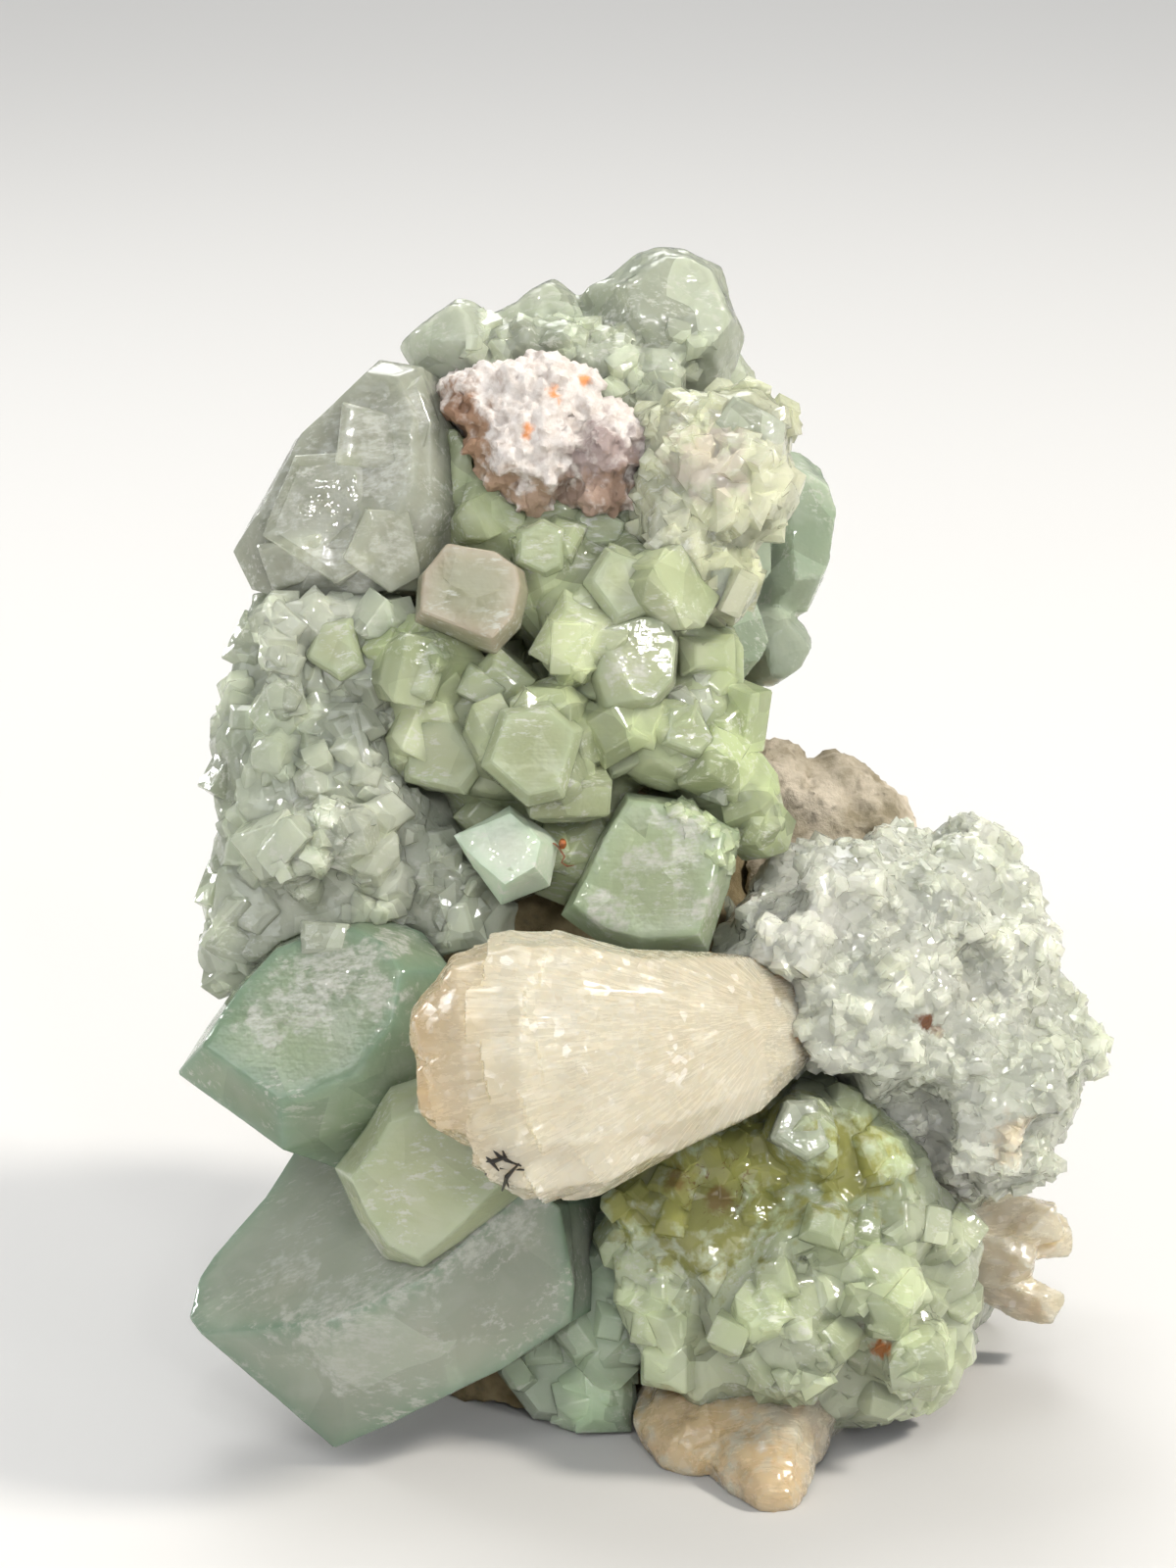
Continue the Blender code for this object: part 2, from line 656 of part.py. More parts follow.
def centre_crystals():
    return [
        gem("field top", 3, "middle", (0, -8), None, 0.8, 1.8, 0.5),
        gem("field right", 1, "middle", (6, -6), None, 0.7, 1.6, 0.5),
        gem("field low", 5, "middle", (0, 0), None, 0.8, 2.0, 0.5),
        gem("pink bud", -1, "middle", (-10, 16), None, 0.6, 1.4, 0.6),
        gem("green bud", 0, "middle", (-10, 4), (425, 680), 0.6, 2.2, 0.5),
        gem("yellow face", 1, "middle", (-8, -4), None, 0.88, 1.4, 0.5),
        gem("hex crystal", -2, "middle", (0, 6), (545, 768), 0.7, 2.0, 0.5),
        gem("clear crystal", -1, "middle", (-4, 4), (590, 630), 0.45, 2.6, 0.5),
        gem("pale facet", 0, "middle", (4, 8), (655, 595), 0.6, 2.4, 0.5),
        gem("peach patch", -1, "middle", (0, 0), None, 0.7, 1.4, 0.6),
        gem("sparkle face", 1, "middle", (14, 0), None, 0.7, 2.2, 0.5),
        gem("right corner", 3, "middle", (24, 4), None, 0.7, 2.2, 0.4),
        gem("teal blob 1", 3, "middle", (14, 10), None, 0.6, 2.2, 0.5),
        gem("teal blob 2", 3, "middle", (18, 0), None, 0.6, 2.2, 0.5),
    ]


def shoulder_crystals(rng):
    members = [
        gem("shoulder", 1, "upper", (12, 10), (735, 465), 0.66, 3.6, 0.45),
        gem("shoulder low", 1, "upper", (12, -6), None, 0.6, 2.4, 0.45),
        gem("shoulder step", -1, "upper", (0, -4), None, 0.6, 2.0, 0.5),
    ]
    members += studs(735, 480, 3, 5.4, 6.0, 6.2, 26, 2.8, rng, (-1, -0.3))
    return members


def back_right():
    return [
        gem("back right", 21, "far upper", (24, 0), None, 0.62, 3.2, 0.85),
        gem("back right low", 21, "far upper", (20, -16), None, 0.6, 2.6, 0.8),
    ]


def sugary_dome(rng):
    members = []
    for number, (u, v, depth, wide, tall, deep, count) in enumerate(DOME_LOBES):
        members.append(lump(u, v, depth, wide, tall, deep, rough=0.05, detail=1, seed=40 + number))
        members += studs(u, v, depth, wide, tall, deep, count, DOME_CRYSTAL_MM, rng, (-1, 0.8))
    members.append(gem("rim crystal", 26, "right", (10, 20), None, 0.6, 2.0, 0.5))
    return members


def fan_crystals(rng):
    members = [
        gem("fan top", 0, "low right", (-2, 2), None, 0.75, 2.8, 0.55),
        gem("fan left", 3, "low right", (-24, -10), None, 0.62, 2.8, 0.7),
        gem("fan middle", 4, "low right", (-4, -16), (760, 1340), 0.66, 2.8, 0.5),
        gem("fan right", 4, "low right", (6, -16), None, 0.66, 2.8, 0.5),
        gem("fan side", 6, "low right", (20, -14), None, 0.66, 2.6, 0.8),
        gem("small gem", -4, "right", (0, 6), (822, 1155), 0.4, 2.4, 0.5),
        gem("teal low", 24, "low right", (20, -10), None, 0.6, 2.0, 0.7),
    ]
    return members + studs(850, 1320, 4, 9.8, 8.6, 8.2, 24, 5.0, rng, (-1, -0.4))


def base_crystals():
    return [
        gem("base left", 9, "low", (-10, -8), None, 0.7, 2.0, 0.6),
        gem("base top", 6, "low", (-10, -4), None, 0.6, 2.0, 0.6),
    ]


def growth(side, rng):
    """Crystals that grow out of the spots of one side."""
    members = []
    for *place, behind in BACK_SPOTS[side]:
        members += studs(*place, rng, behind, BACK_TIP_MM, 2)
    return [above_ground(member) for member in members]


def back_top(rng):
    return growth("top", rng)


def back_left(rng):
    return growth("left", rng)


def back_low(rng):
    return growth("low", rng)


def right_side(rng):
    return growth("right", rng)


def blades(root, tips):
    """Thin square prisms that fan out from one root."""
    start = seen(*root)
    made = []
    for number, (u, v, depth, width) in enumerate(tips):
        tip = seen(u, v, depth)
        made.append(prism(start, tip, width * MM, 0.45, 0.5 * number, 0.25, 60, 2))
    return made


def stilbite_spray():
    return blades(SPRAY_ROOT, SPRAY_BLADES)


def stilbite_foot():
    return [above_ground(sheaf(FOOT_STATIONS, 10)), above_ground(sheaf(FOOT_LOBE, 7))]


def stilbite_sprig():
    return blades(SPRIG_ROOT, SPRIG_BLADES)


NODES = [
    ("matrix_rock", "rock", matrix_rock),
    ("pale_rock", "rock", pale_rock),
    ("stilbite_sheaf", "stilbite", stilbite_sheaf),
    ("druse_crust", "druse", druse_crust),
    ("apophyllite_great_blade", "clear_apophyllite", great_blade),
    ("apophyllite_green_block", "green_apophyllite", green_block),
    ("apophyllite_yellow_cube", "yellow_apophyllite", yellow_cube),
    ("apophyllite_mint_point", "green_apophyllite", mint_point),
    ("apophyllite_big_rhomb", "green_apophyllite", big_rhomb),
    ("apophyllite_pale_cube", "yellow_apophyllite", pale_cube),
    ("stilbite_pink_block", "stilbite", pink_block),
    ("apophyllite_left_plate", "clear_apophyllite", left_plate),
    ("apophyllite_crown", "clear_apophyllite", crown_crystals),
    ("apophyllite_shoulder", "sugary_apophyllite", shoulder_crystals),
    ("apophyllite_dome", "sugary_apophyllite", sugary_dome),
    ("apophyllite_centre", "yellow_apophyllite", centre_crystals),
    ("apophyllite_left_flank", "clear_apophyllite", left_flank),
    ("apophyllite_back_right", "green_apophyllite", back_right),
    ("apophyllite_fan", "yellow_apophyllite", fan_crystals),
    ("apophyllite_base", "green_apophyllite", base_crystals),
    ("stilbite_foot", "stilbite", stilbite_foot),
    ("stilbite_sprig", "stilbite", stilbite_sprig),
    ("stilbite_spray", "stilbite", stilbite_spray),
    ("apophyllite_back_top", "clear_apophyllite", back_top),
    ("apophyllite_back_left", "green_apophyllite", back_left),
    ("apophyllite_back_low", "clear_apophyllite", back_low),
    ("apophyllite_right_side", "green_apophyllite", right_side),
]


def material(name):
    colour, roughness = MATERIALS[name]
    made = bpy.data.materials.new(name)
    made.use_nodes = True
    shader = made.node_tree.nodes["Principled BSDF"]
    shader.inputs["Base Color"].default_value = (*colour, 1)
    shader.inputs["Roughness"].default_value = roughness
    shader.inputs["Metallic"].default_value = 0.0
    return made


def near(mesh, other, margin):
    """Whether the boxes around two meshes come within the margin of each other."""
    for axis in range(3):
        mine = [vert.co[axis] for vert in mesh.vertices]
        theirs = [vert.co[axis] for vert in other.vertices]
        if min(mine) > max(theirs) + margin or min(theirs) > max(mine) + margin:
            return False
    return True


def main():
    for item in list(bpy.data.objects):
        bpy.data.objects.remove(item, do_unlink=True)
    rng = random.Random(SEED)
    finishes = {name: material(name) for name in MATERIALS}
    taken = []
    for name, finish, build in NODES:
        needs_chance = build.__code__.co_argcount == 1
        members = build(rng) if needs_chance else build()
        body = combined(members[0].copy(), [member.copy() for member in members[1:]], "UNION")
        cutters = [shape.copy() for shape in taken if near(body, shape, 0)]
        body = cleaned(combined(body, cutters, "DIFFERENCE"))
        body.name = name
        body.materials.clear()
        body.materials.append(finishes[finish])
        piece = bpy.data.objects.new(name, body)
        bpy.context.scene.collection.objects.link(piece)
        taken += [grown(member, CLEARANCE_MM * MM) for member in members]


main()
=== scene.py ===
"""Looks of the apophyllite cluster: crystal skins, small intergrown crystals, stilbite, druse,
rock, and a studio around them. Metres, +Z up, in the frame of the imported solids.
"""

import math

import bmesh
import bpy
import numpy as np
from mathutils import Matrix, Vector, noise
from mathutils.bvhtree import BVHTree


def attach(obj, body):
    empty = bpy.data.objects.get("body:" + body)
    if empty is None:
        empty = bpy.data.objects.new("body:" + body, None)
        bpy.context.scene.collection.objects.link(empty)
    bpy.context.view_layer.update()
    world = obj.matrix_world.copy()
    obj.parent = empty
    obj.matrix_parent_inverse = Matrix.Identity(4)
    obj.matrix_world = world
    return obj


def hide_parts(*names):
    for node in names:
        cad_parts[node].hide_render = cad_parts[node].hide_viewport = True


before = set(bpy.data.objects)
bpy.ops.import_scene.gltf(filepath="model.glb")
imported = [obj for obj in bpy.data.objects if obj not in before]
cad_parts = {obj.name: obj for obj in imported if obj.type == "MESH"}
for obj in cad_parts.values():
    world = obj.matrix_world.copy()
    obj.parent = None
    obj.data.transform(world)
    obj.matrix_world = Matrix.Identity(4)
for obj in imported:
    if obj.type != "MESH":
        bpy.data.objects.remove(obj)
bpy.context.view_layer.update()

MM = 0.001

# The photograph's camera: the size of a pixel at the picture plane, and where it stands
PHOTO_PIXELS = (1200, 1600)
PIXEL = 0.082 * MM
VIEW_DISTANCE = 320 * MM
VIEW_PITCH = math.radians(16)
AIM = Vector((-5.1, -7.0, 55.8)) * MM
SENSOR_MM = 36.0

SKIN = 0.15 * MM
EDGE_BEVEL = 0.16 * MM


# Meshes

def welded(node):
    """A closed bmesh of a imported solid, grown by SKIN so that neighbours meet."""
    bm = bmesh.new()
    bm.from_mesh(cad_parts[node].data)
    bmesh.ops.remove_doubles(bm, verts=bm.verts, dist=0.002 * MM)
    bmesh.ops.dissolve_limit(
        bm, angle_limit=math.radians(0.5), verts=bm.verts, edges=bm.edges)
    bmesh.ops.triangulate(bm, faces=bm.faces)
    bm.normal_update()
    moves = [(v, v.normal * SKIN * min(v.calc_shell_factor(), 2.0)) for v in bm.verts]
    for vert, move in moves:
        vert.co += move
        vert.co.z = max(vert.co.z, 0.0)
    return bm


def refine(bm, longest):
    """Split every edge longer than this."""
    for _ in range(9):
        long_edges = [edge for edge in bm.edges if edge.calc_length() > longest]
        if not long_edges:
            break
        bmesh.ops.subdivide_edges(bm, edges=long_edges, cuts=1)
        bmesh.ops.triangulate(bm, faces=bm.faces)


def to_mesh(bm, name):
    mesh = bpy.data.meshes.new(name)
    bm.to_mesh(mesh)
    bm.free()
    return mesh


def with_modifier(mesh, kind, **settings):
    """The mesh that a modifier makes of this one, which is removed."""
    holder = bpy.data.objects.new("holder", mesh)
    bpy.context.scene.collection.objects.link(holder)
    modifier = holder.modifiers.new("change", kind)
    for key, value in settings.items():
        setattr(modifier, key, value)
    shaped = holder.evaluated_get(bpy.context.evaluated_depsgraph_get())
    made = bpy.data.meshes.new_from_object(shaped)
    name = mesh.name
    bpy.data.objects.remove(holder)
    bpy.data.meshes.remove(mesh)
    made.name = name
    return made


def places(mesh):
    points = np.empty(len(mesh.vertices) * 3)
    mesh.vertices.foreach_get("co", points)
    return points.reshape(-1, 3)


def directions(mesh):
    normals = np.empty(len(mesh.vertices) * 3)
    mesh.vertex_normals.foreach_get("vector", normals)
    return normals.reshape(-1, 3)


def move_to(mesh, points):
    points[:, 2] = np.maximum(points[:, 2], 0.0)
    mesh.vertices.foreach_set("co", points.ravel())
    mesh.update()


def shade(mesh, angle):
    """Smooth faces that meet in crisp edges where they turn by more than this."""
    mesh.polygons.foreach_set("use_smooth", [True] * len(mesh.polygons))
    mesh.set_sharp_from_angle(angle=math.radians(angle))


def add_piece(name, mesh, finishes):
    """A piece of the object that rides on its one body."""
    mesh.name = name
    mesh.validate()
    piece = bpy.data.objects.new(name, mesh)
    bpy.context.scene.collection.objects.link(piece)
    mesh.materials.clear()
    for finish in finishes:
        mesh.materials.append(finish)
    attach(piece, "root")
    return piece


def triangles(mesh):
    mesh.calc_loop_triangles()
    corners = np.empty(len(mesh.loop_triangles) * 3, dtype=np.int32)
    mesh.loop_triangles.foreach_get("vertices", corners)
    return corners.reshape(-1, 3)


def voxels(mesh, size):
    """One closed skin of small squares around everything in this mesh."""
    return with_modifier(mesh, "REMESH", mode="VOXEL", voxel_size=size)


def with_gaps_closed(mesh, width, size):
    """Fill the clefts narrower than about twice this width."""
    move_to(mesh, places(mesh) + directions(mesh) * width)
    mesh = voxels(mesh, size)
    move_to(mesh, places(mesh) - directions(mesh) * width)
    return mesh


def intergrown(points, spacing, seed):
    """How far a field of intergrown square crystals reaches at each point, in spacings."""
    rng = np.random.default_rng(seed)
    low = points.min(0)
    counts = np.ceil((points.max(0) - low) / spacing).astype(int) + 3
    jitter = rng.uniform(0.05, 0.95, (*counts, 3))
    turns = np.linalg.qr(rng.normal(size=(*counts, 3, 3)))[0]
    lift = rng.uniform(0.0, 0.5, counts)
    here = (points - low) / spacing + 1.0
    cell = np.floor(here).astype(int)
    best = np.full(len(points), -9.0)
    for step in np.ndindex(3, 3, 3):
        index = np.clip(cell + np.array(step) - 1, 0, counts - 1)
        key = (index[:, 0], index[:, 1], index[:, 2])
        away = here - index - jitter[key]
        turned = np.einsum("nij,nj->ni", turns[key], away)
        best = np.maximum(best, lift[key] - np.abs(turned).max(1))
    return best


def rayed(across, down, behind, length):
    """Places stretched so that growth runs in long blades away from a point behind this pixel."""
    centre = np.array(spot(across, down)) + np.array(TOWARDS) * behind * MM

    def space(points):
        away = points - centre
        reach = np.linalg.norm(away, axis=1)[:, None]
        return away / reach * (8 * MM + reach / length)
    return space


def soft_noise(points, size, seed=0):
    """Smooth noise from -1 to 1 at each point, with features of about this size."""
    offset = Vector((seed * 7.31, seed * 3.17, seed * 5.77))
    return np.array([noise.noise(Vector(p) / size + offset) for p in points])


# Where things are in the photograph

def everything():
    """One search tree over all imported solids."""
    points, faces = [], []
    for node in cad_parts.values():
        first = len(points)
        points += [v.co.copy() for v in node.data.vertices]
        faces += [[first + i for i in p.vertices] for p in node.data.polygons]
    return BVHTree.FromPolygons(points, faces)


TREE = everything()
TOWARDS = Vector((0, math.cos(VIEW_PITCH), -math.sin(VIEW_PITCH)))
UPWARD = Vector((0, math.sin(VIEW_PITCH), math.cos(VIEW_PITCH)))
EYE = AIM - TOWARDS * VIEW_DISTANCE


def view_ray(across, down):
    """The direction from the eye through this pixel of the photograph."""
    right = Vector((1, 0, 0)) * (across - PHOTO_PIXELS[0] / 2) * PIXEL
    up = UPWARD * (PHOTO_PIXELS[1] / 2 - down) * PIXEL
    return (TOWARDS * VIEW_DISTANCE + right + up).normalized()


def spot(across, down):
    """The place on the solids that this pixel of the photograph shows."""
    return TREE.ray_cast(EYE, view_ray(across, down))[0]


def spot_and_normal(across, down):
    place, normal, _, _ = TREE.ray_cast(EYE, view_ray(across, down))
    return place, normal


def around(*patches):
    """A share from 0 to 1 for each point: 1 inside round patches (pixel, pixel, radius in mm)."""
    centres = [(np.array(spot(across, down)), radius * MM) for across, down, radius in patches]

    def share(points):
        best = np.zeros(len(points))
        for centre, radius in centres:
            away = np.linalg.norm(points - centre, axis=1) / radius
            best = np.maximum(best, np.clip(1.6 - 1.3 * away, 0.0, 1.0))
        return best
    return share


def everywhere(points):
    return np.ones(len(points))


# Small crystals that stand in the surface of a group

def open_spots(points, faces, count, rng, reach=3 * MM):
    """Random places on the mesh with room in front of them, as (place, normal) arrays."""
    a, b, c = (points[faces[:, i]] for i in range(3))
    cross = np.cross(b - a, c - a)
    area = np.linalg.norm(cross, axis=1)
    chosen = rng.choice(len(faces), size=count, p=area / area.sum())
    r1 = np.sqrt(rng.random(count))[:, None]
    r2 = rng.random(count)[:, None]
    spots = a[chosen] * (1 - r1) + b[chosen] * r1 * (1 - r2) + c[chosen] * r1 * r2
    normals = cross[chosen] / np.maximum(area[chosen], 1e-15)[:, None]
    keep = []
    for index in range(count):
        start = Vector(spots[index] + normals[index] * 0.4 * MM)
        if TREE.ray_cast(start, Vector(normals[index]), reach)[0] is None:
            keep.append(index)
    return spots[keep], normals[keep]


# One square crystal with a smaller top face: its corners and faces
CORNER_SIGNS = ((-1, -1), (1, -1), (1, 1), (-1, 1))
TIP_CORNERS = np.array(
    [(x, y, -0.9) for x, y in CORNER_SIGNS]
    + [(x, y, 0.25) for x, y in CORNER_SIGNS]
    + [(x * 0.55, y * 0.55, 0.7) for x, y in CORNER_SIGNS]) * 0.5
CRYSTAL_FACES = [(3, 2, 1, 0), (8, 9, 10, 11)]
for ring in (0, 4):
    for side in range(4):
        nxt = (side + 1) % 4
        CRYSTAL_FACES.append((ring + side, ring + nxt, ring + 4 + nxt, ring + 4 + side))


def small_crystals(spots, normals, sizes, rng, tilt, stretch=(0.7, 1.3)):
    """Corner places and faces of square crystals that stand on these spots."""
    count = len(spots)
    up = normals + rng.normal(size=(count, 3)) * tilt
    up /= np.linalg.norm(up, axis=1)[:, None]
    side = np.cross(up, rng.normal(size=(count, 3)))
    side /= np.linalg.norm(side, axis=1)[:, None]
    other = np.cross(up, side)
    scale = rng.uniform(*stretch, size=(count, 2))
    local = TIP_CORNERS[None] * sizes[:, None, None]
    local = local * np.stack([scale[:, 0], scale[:, 1], np.ones(count)], 1)[:, None]
    points = (spots[:, None] + local[..., 0:1] * side[:, None]
              + local[..., 1:2] * other[:, None] + local[..., 2:3] * up[:, None])
    points = points.reshape(-1, 3)
    points[:, 2] = np.maximum(points[:, 2], 0.0)
    faces = []
    for index in range(count):
        first = index * len(TIP_CORNERS)
        faces += [tuple(first + i for i in face) for face in CRYSTAL_FACES]
    return points, faces


def with_crystals(mesh, count, size, tilt, sunk, seed):
    """Add small crystals to the open surface of this mesh."""
    rng = np.random.default_rng(seed)
    points, faces = places(mesh), triangles(mesh)
    spots, normals = open_spots(points, faces, count, rng)
    sizes = np.exp(rng.normal(0.0, 0.35, len(spots))) * size * MM
    spots = spots - normals * (sizes * sunk)[:, None]
    corners, corner_faces = small_crystals(spots, normals, sizes, rng, tilt)
    all_points = np.concatenate([points, corners]).tolist()
    all_faces = faces.tolist() + [[len(points) + i for i in face] for face in corner_faces]
    joined = bpy.data.meshes.new(mesh.name)
    joined.from_pydata(all_points, [], all_faces)
    joined.update()
    bpy.data.meshes.remove(mesh)
    return joined


# Materials

class Nodes:
    """Short names for building a node material."""

    def __init__(self, name):
        self.material = bpy.data.materials.new(name)
        self.material.use_nodes = True
        self.tree = self.material.node_tree
        self.shader = self.tree.nodes["Principled BSDF"]
        self.output = self.tree.nodes["Material Output"]
        self.place = self.add("ShaderNodeTexCoord").outputs["Object"]
        self.wobble = None

    def add(self, kind, **settings):
        node = self.tree.nodes.new(kind)
        for key, value in settings.items():
            setattr(node, key, value)
        return node

    def link(self, start, end):
        self.tree.links.new(start, end)

    def stretched(self, scale, turn=(0, 0, 0)):
        mapping = self.add("ShaderNodeMapping")
        mapping.inputs["Scale"].default_value = scale
        mapping.inputs["Rotation"].default_value = turn
        self.link(self.place, mapping.inputs["Vector"])
        return mapping.outputs["Vector"]

    def noise(self, scale, detail=4, rough=0.55, distortion=0.0, vector=None):
        node = self.add("ShaderNodeTexNoise")
        node.inputs["Scale"].default_value = scale
        node.inputs["Detail"].default_value = detail
        node.inputs["Roughness"].default_value = rough
        node.inputs["Distortion"].default_value = distortion
        self.link(vector or self.place, node.inputs["Vector"])
        return node.outputs["Fac"]

    def cells(self, scale, vector=None, feature="F1", output="Color"):
        node = self.add("ShaderNodeTexVoronoi", feature=feature)
        node.inputs["Scale"].default_value = scale
        self.link(vector or self.place, node.inputs["Vector"])
        return node.outputs[output]

    def ramp(self, value, low, high, start=0.0, end=1.0):
        """Map low..high of a value to start..end."""
        node = self.add("ShaderNodeMapRange")
        node.inputs["From Min"].default_value = low
        node.inputs["From Max"].default_value = high
        node.inputs["To Min"].default_value = start
        node.inputs["To Max"].default_value = end
        self.link(value, node.inputs["Value"])
        return node.outputs["Result"]

    def mix(self, factor, first, second, blend="MIX"):
        """Mix two colours, each a colour or an output."""
        node = self.add("ShaderNodeMix", data_type="RGBA", blend_type=blend)
        for socket, value in ((node.inputs["Factor"], factor), (node.inputs[6], first),
                              (node.inputs[7], second)):
            if isinstance(value, bpy.types.NodeSocket):
                self.link(value, socket)
            elif isinstance(value, tuple):
                socket.default_value = (*value, 1)
            else:
                socket.default_value = value
        return node.outputs[2]

    def math(self, operation, first, second):
        node = self.add("ShaderNodeMath", operation=operation)
        for socket, value in zip(node.inputs, (first, second)):
            if isinstance(value, bpy.types.NodeSocket):
                self.link(value, socket)
            else:
                socket.default_value = value
        return node.outputs[0]

    def warped(self, scale, amount):
        """The place in space, pushed about by noise."""
        node = self.add("ShaderNodeTexNoise")
        node.inputs["Scale"].default_value = scale
        node.inputs["Detail"].default_value = 0
        self.link(self.place, node.inputs["Vector"])
        lean = self.add("ShaderNodeVectorMath", operation="SCALE")
        self.link(node.outputs["Color"], lean.inputs[0])
        lean.inputs["Scale"].default_value = 2 * amount
        total = self.add("ShaderNodeVectorMath", operation="ADD")
        self.link(self.place, total.inputs[0])
        self.link(lean.outputs[0], total.inputs[1])
        return total.outputs[0]

    def add_split(self, colour):
        """The first channel of a colour."""
        node = self.add("ShaderNodeSeparateColor")
        self.link(colour, node.inputs[0])
        return node.outputs[0]

    def scaled(self, colour, factor):
        node = self.add("ShaderNodeVectorMath", operation="SCALE")
        self.link(colour, node.inputs[0])
        self.link(factor, node.inputs["Scale"])
        return node.outputs[0]

    def near_point(self, point, radius, ragged=0.5):
        """1 at the point, falling to 0 at about this radius, with a ragged border."""
        away = self.add("ShaderNodeVectorMath", operation="DISTANCE")
        self.link(self.place, away.inputs[0])
        away.inputs[1].default_value = point
        if self.wobble is None:
            self.wobble = self.noise(700, 3)
        wobble = self.ramp(self.wobble, 0.3, 0.7, -ragged * radius, ragged * radius)
        return self.ramp(self.math("ADD", away.outputs["Value"], wobble), radius, radius * 0.45)

    def tilted_cells(self, scale, amount, vector=None):
        """A normal that leans a different way in each cell, as on a mosaic of crystal faces."""
        colour = self.cells(scale, vector)
        lean = self.add("ShaderNodeVectorMath", operation="SUBTRACT")
        self.link(colour, lean.inputs[0])
        lean.inputs[1].default_value = (0.5, 0.5, 0.5)
        scaled = self.add("ShaderNodeVectorMath", operation="SCALE")
        self.link(lean.outputs[0], scaled.inputs[0])
        scaled.inputs["Scale"].default_value = amount
        normal = self.add("ShaderNodeNewGeometry").outputs["Normal"]
        total = self.add("ShaderNodeVectorMath", operation="ADD")
        self.link(normal, total.inputs[0])
        self.link(scaled.outputs[0], total.inputs[1])
        unit = self.add("ShaderNodeVectorMath", operation="NORMALIZE")
        self.link(total.outputs[0], unit.inputs[0])
        return unit.outputs[0]

    def bump(self, height, distance, strength=1.0, normal=None):
        node = self.add("ShaderNodeBump")
        node.inputs["Distance"].default_value = distance
        node.inputs["Strength"].default_value = strength
        self.link(height, node.inputs["Height"])
        if normal is not None:
            self.link(normal, node.inputs["Normal"])
        return node.outputs["Normal"]

    def set(self, name, value):
        socket = self.shader.inputs[name]
        if isinstance(value, bpy.types.NodeSocket):
            self.link(value, socket)
        else:
            socket.default_value = value


def crystal(name, pale, deep, clear=0.4, veil=0.5, rough=0.06, cells=(700, 0.10), grain=(220, 0.5),
            absorb=0, rim=None, stains_and_shade=(), dendrites=(), scatter=1.8, veils=()):
    """Apophyllite: glassy and partly milky, with veils and a mosaic of slightly tilted faces."""
    n = Nodes(name)
    warped = n.warped(120, 1.2 * MM)
    blocks = n.cells(grain[0], warped)
    tint = n.mix(n.ramp(n.noise(70, 2), 0.35, 0.65), deep, pale)
    shift = n.ramp(n.add_split(blocks), 0.0, 1.0, 1.0 - 0.35 * grain[1], 1.0 + 0.25 * grain[1])
    tint = n.scaled(tint, shift)
    if rim:
        edge = n.add("ShaderNodeAttribute", attribute_name="rim").outputs["Fac"]
        tint = n.mix(n.math("MULTIPLY", edge, 0.85), tint, rim)
    patches = n.noise(200, 2)
    wisps = n.noise(1, 3, 0.62, 1.0, n.stretched((90, 240, 150), (0.5, 0.4, 0.7)))
    milk = n.ramp(wisps, 0.50, 0.74, 0.0, veil * 0.5)
    streaks = n.noise(1, 3, 0.72, 0.0, n.stretched((600, 2600, 1500), (0.4, 0.6, 0.9)))
    fleck = n.math("MULTIPLY", n.ramp(streaks, 0.52, 0.64, 0.0, 0.8), n.ramp(patches, 0.44, 0.60))
    milk = n.math("MAXIMUM", milk, fleck)
    zone = None
    for point, radius in veils:
        near = n.near_point(point, radius, 0.7)
        zone = near if zone is None else n.math("MAXIMUM", zone, near)
    if zone is not None:
        milk = n.math("MAXIMUM", milk, n.math("MULTIPLY", zone, n.ramp(streaks, 0.38, 0.60, 0.25)))
    colour = n.mix(milk, tint, (0.88, 0.89, 0.78))
    for point, radius, paint in stains_and_shade:
        colour = n.mix(n.near_point(point, radius), colour, paint)
    if dendrites:
        twigs = n.cells(900, n.warped(900, 0.9 * MM), "DISTANCE_TO_EDGE", "Distance")
        twigs = n.math("MULTIPLY", n.ramp(twigs, 0.02, 0.07, 1.0, 0.0),
                       n.ramp(n.noise(700, 3), 0.50, 0.56))
    for point, radius, paint in dendrites:
        colour = n.mix(n.math("MULTIPLY", twigs, n.near_point(point, radius)), colour, paint)
    n.set("Base Color", colour)
    roughness = n.math("ADD", n.ramp(patches, 0.4, 0.75, rough, rough + 0.10),
                       n.math("MULTIPLY", milk, 0.08))
    n.set("Roughness", roughness)
    n.set("IOR", 1.535)
    n.set("Transmission Weight", clear)
    n.shader.subsurface_method = "BURLEY"
    n.set("Subsurface Weight", 0.8)
    n.set("Subsurface Radius", (1.0, 1.0, 0.8))
    n.set("Subsurface Scale", scatter * MM)
    mosaic = n.tilted_cells(*cells)
    lines = n.noise(1, 1, 0.6, 0.0, n.stretched((160, 160, 2600), (0.3, 0.2, 0.1)))
    grains = n.math("ADD", n.math("MULTIPLY", lines, 0.6), n.noise(1800, 1, 0.6))
    n.set("Normal", n.bump(grains, 0.06 * MM, 0.5, mosaic))
    if absorb:
        volume = n.add("ShaderNodeVolumeAbsorption")
        volume.inputs["Color"].default_value = (*pale, 1)
        volume.inputs["Density"].default_value = absorb
        n.link(volume.outputs[0], n.output.inputs["Volume"])
    return n.material


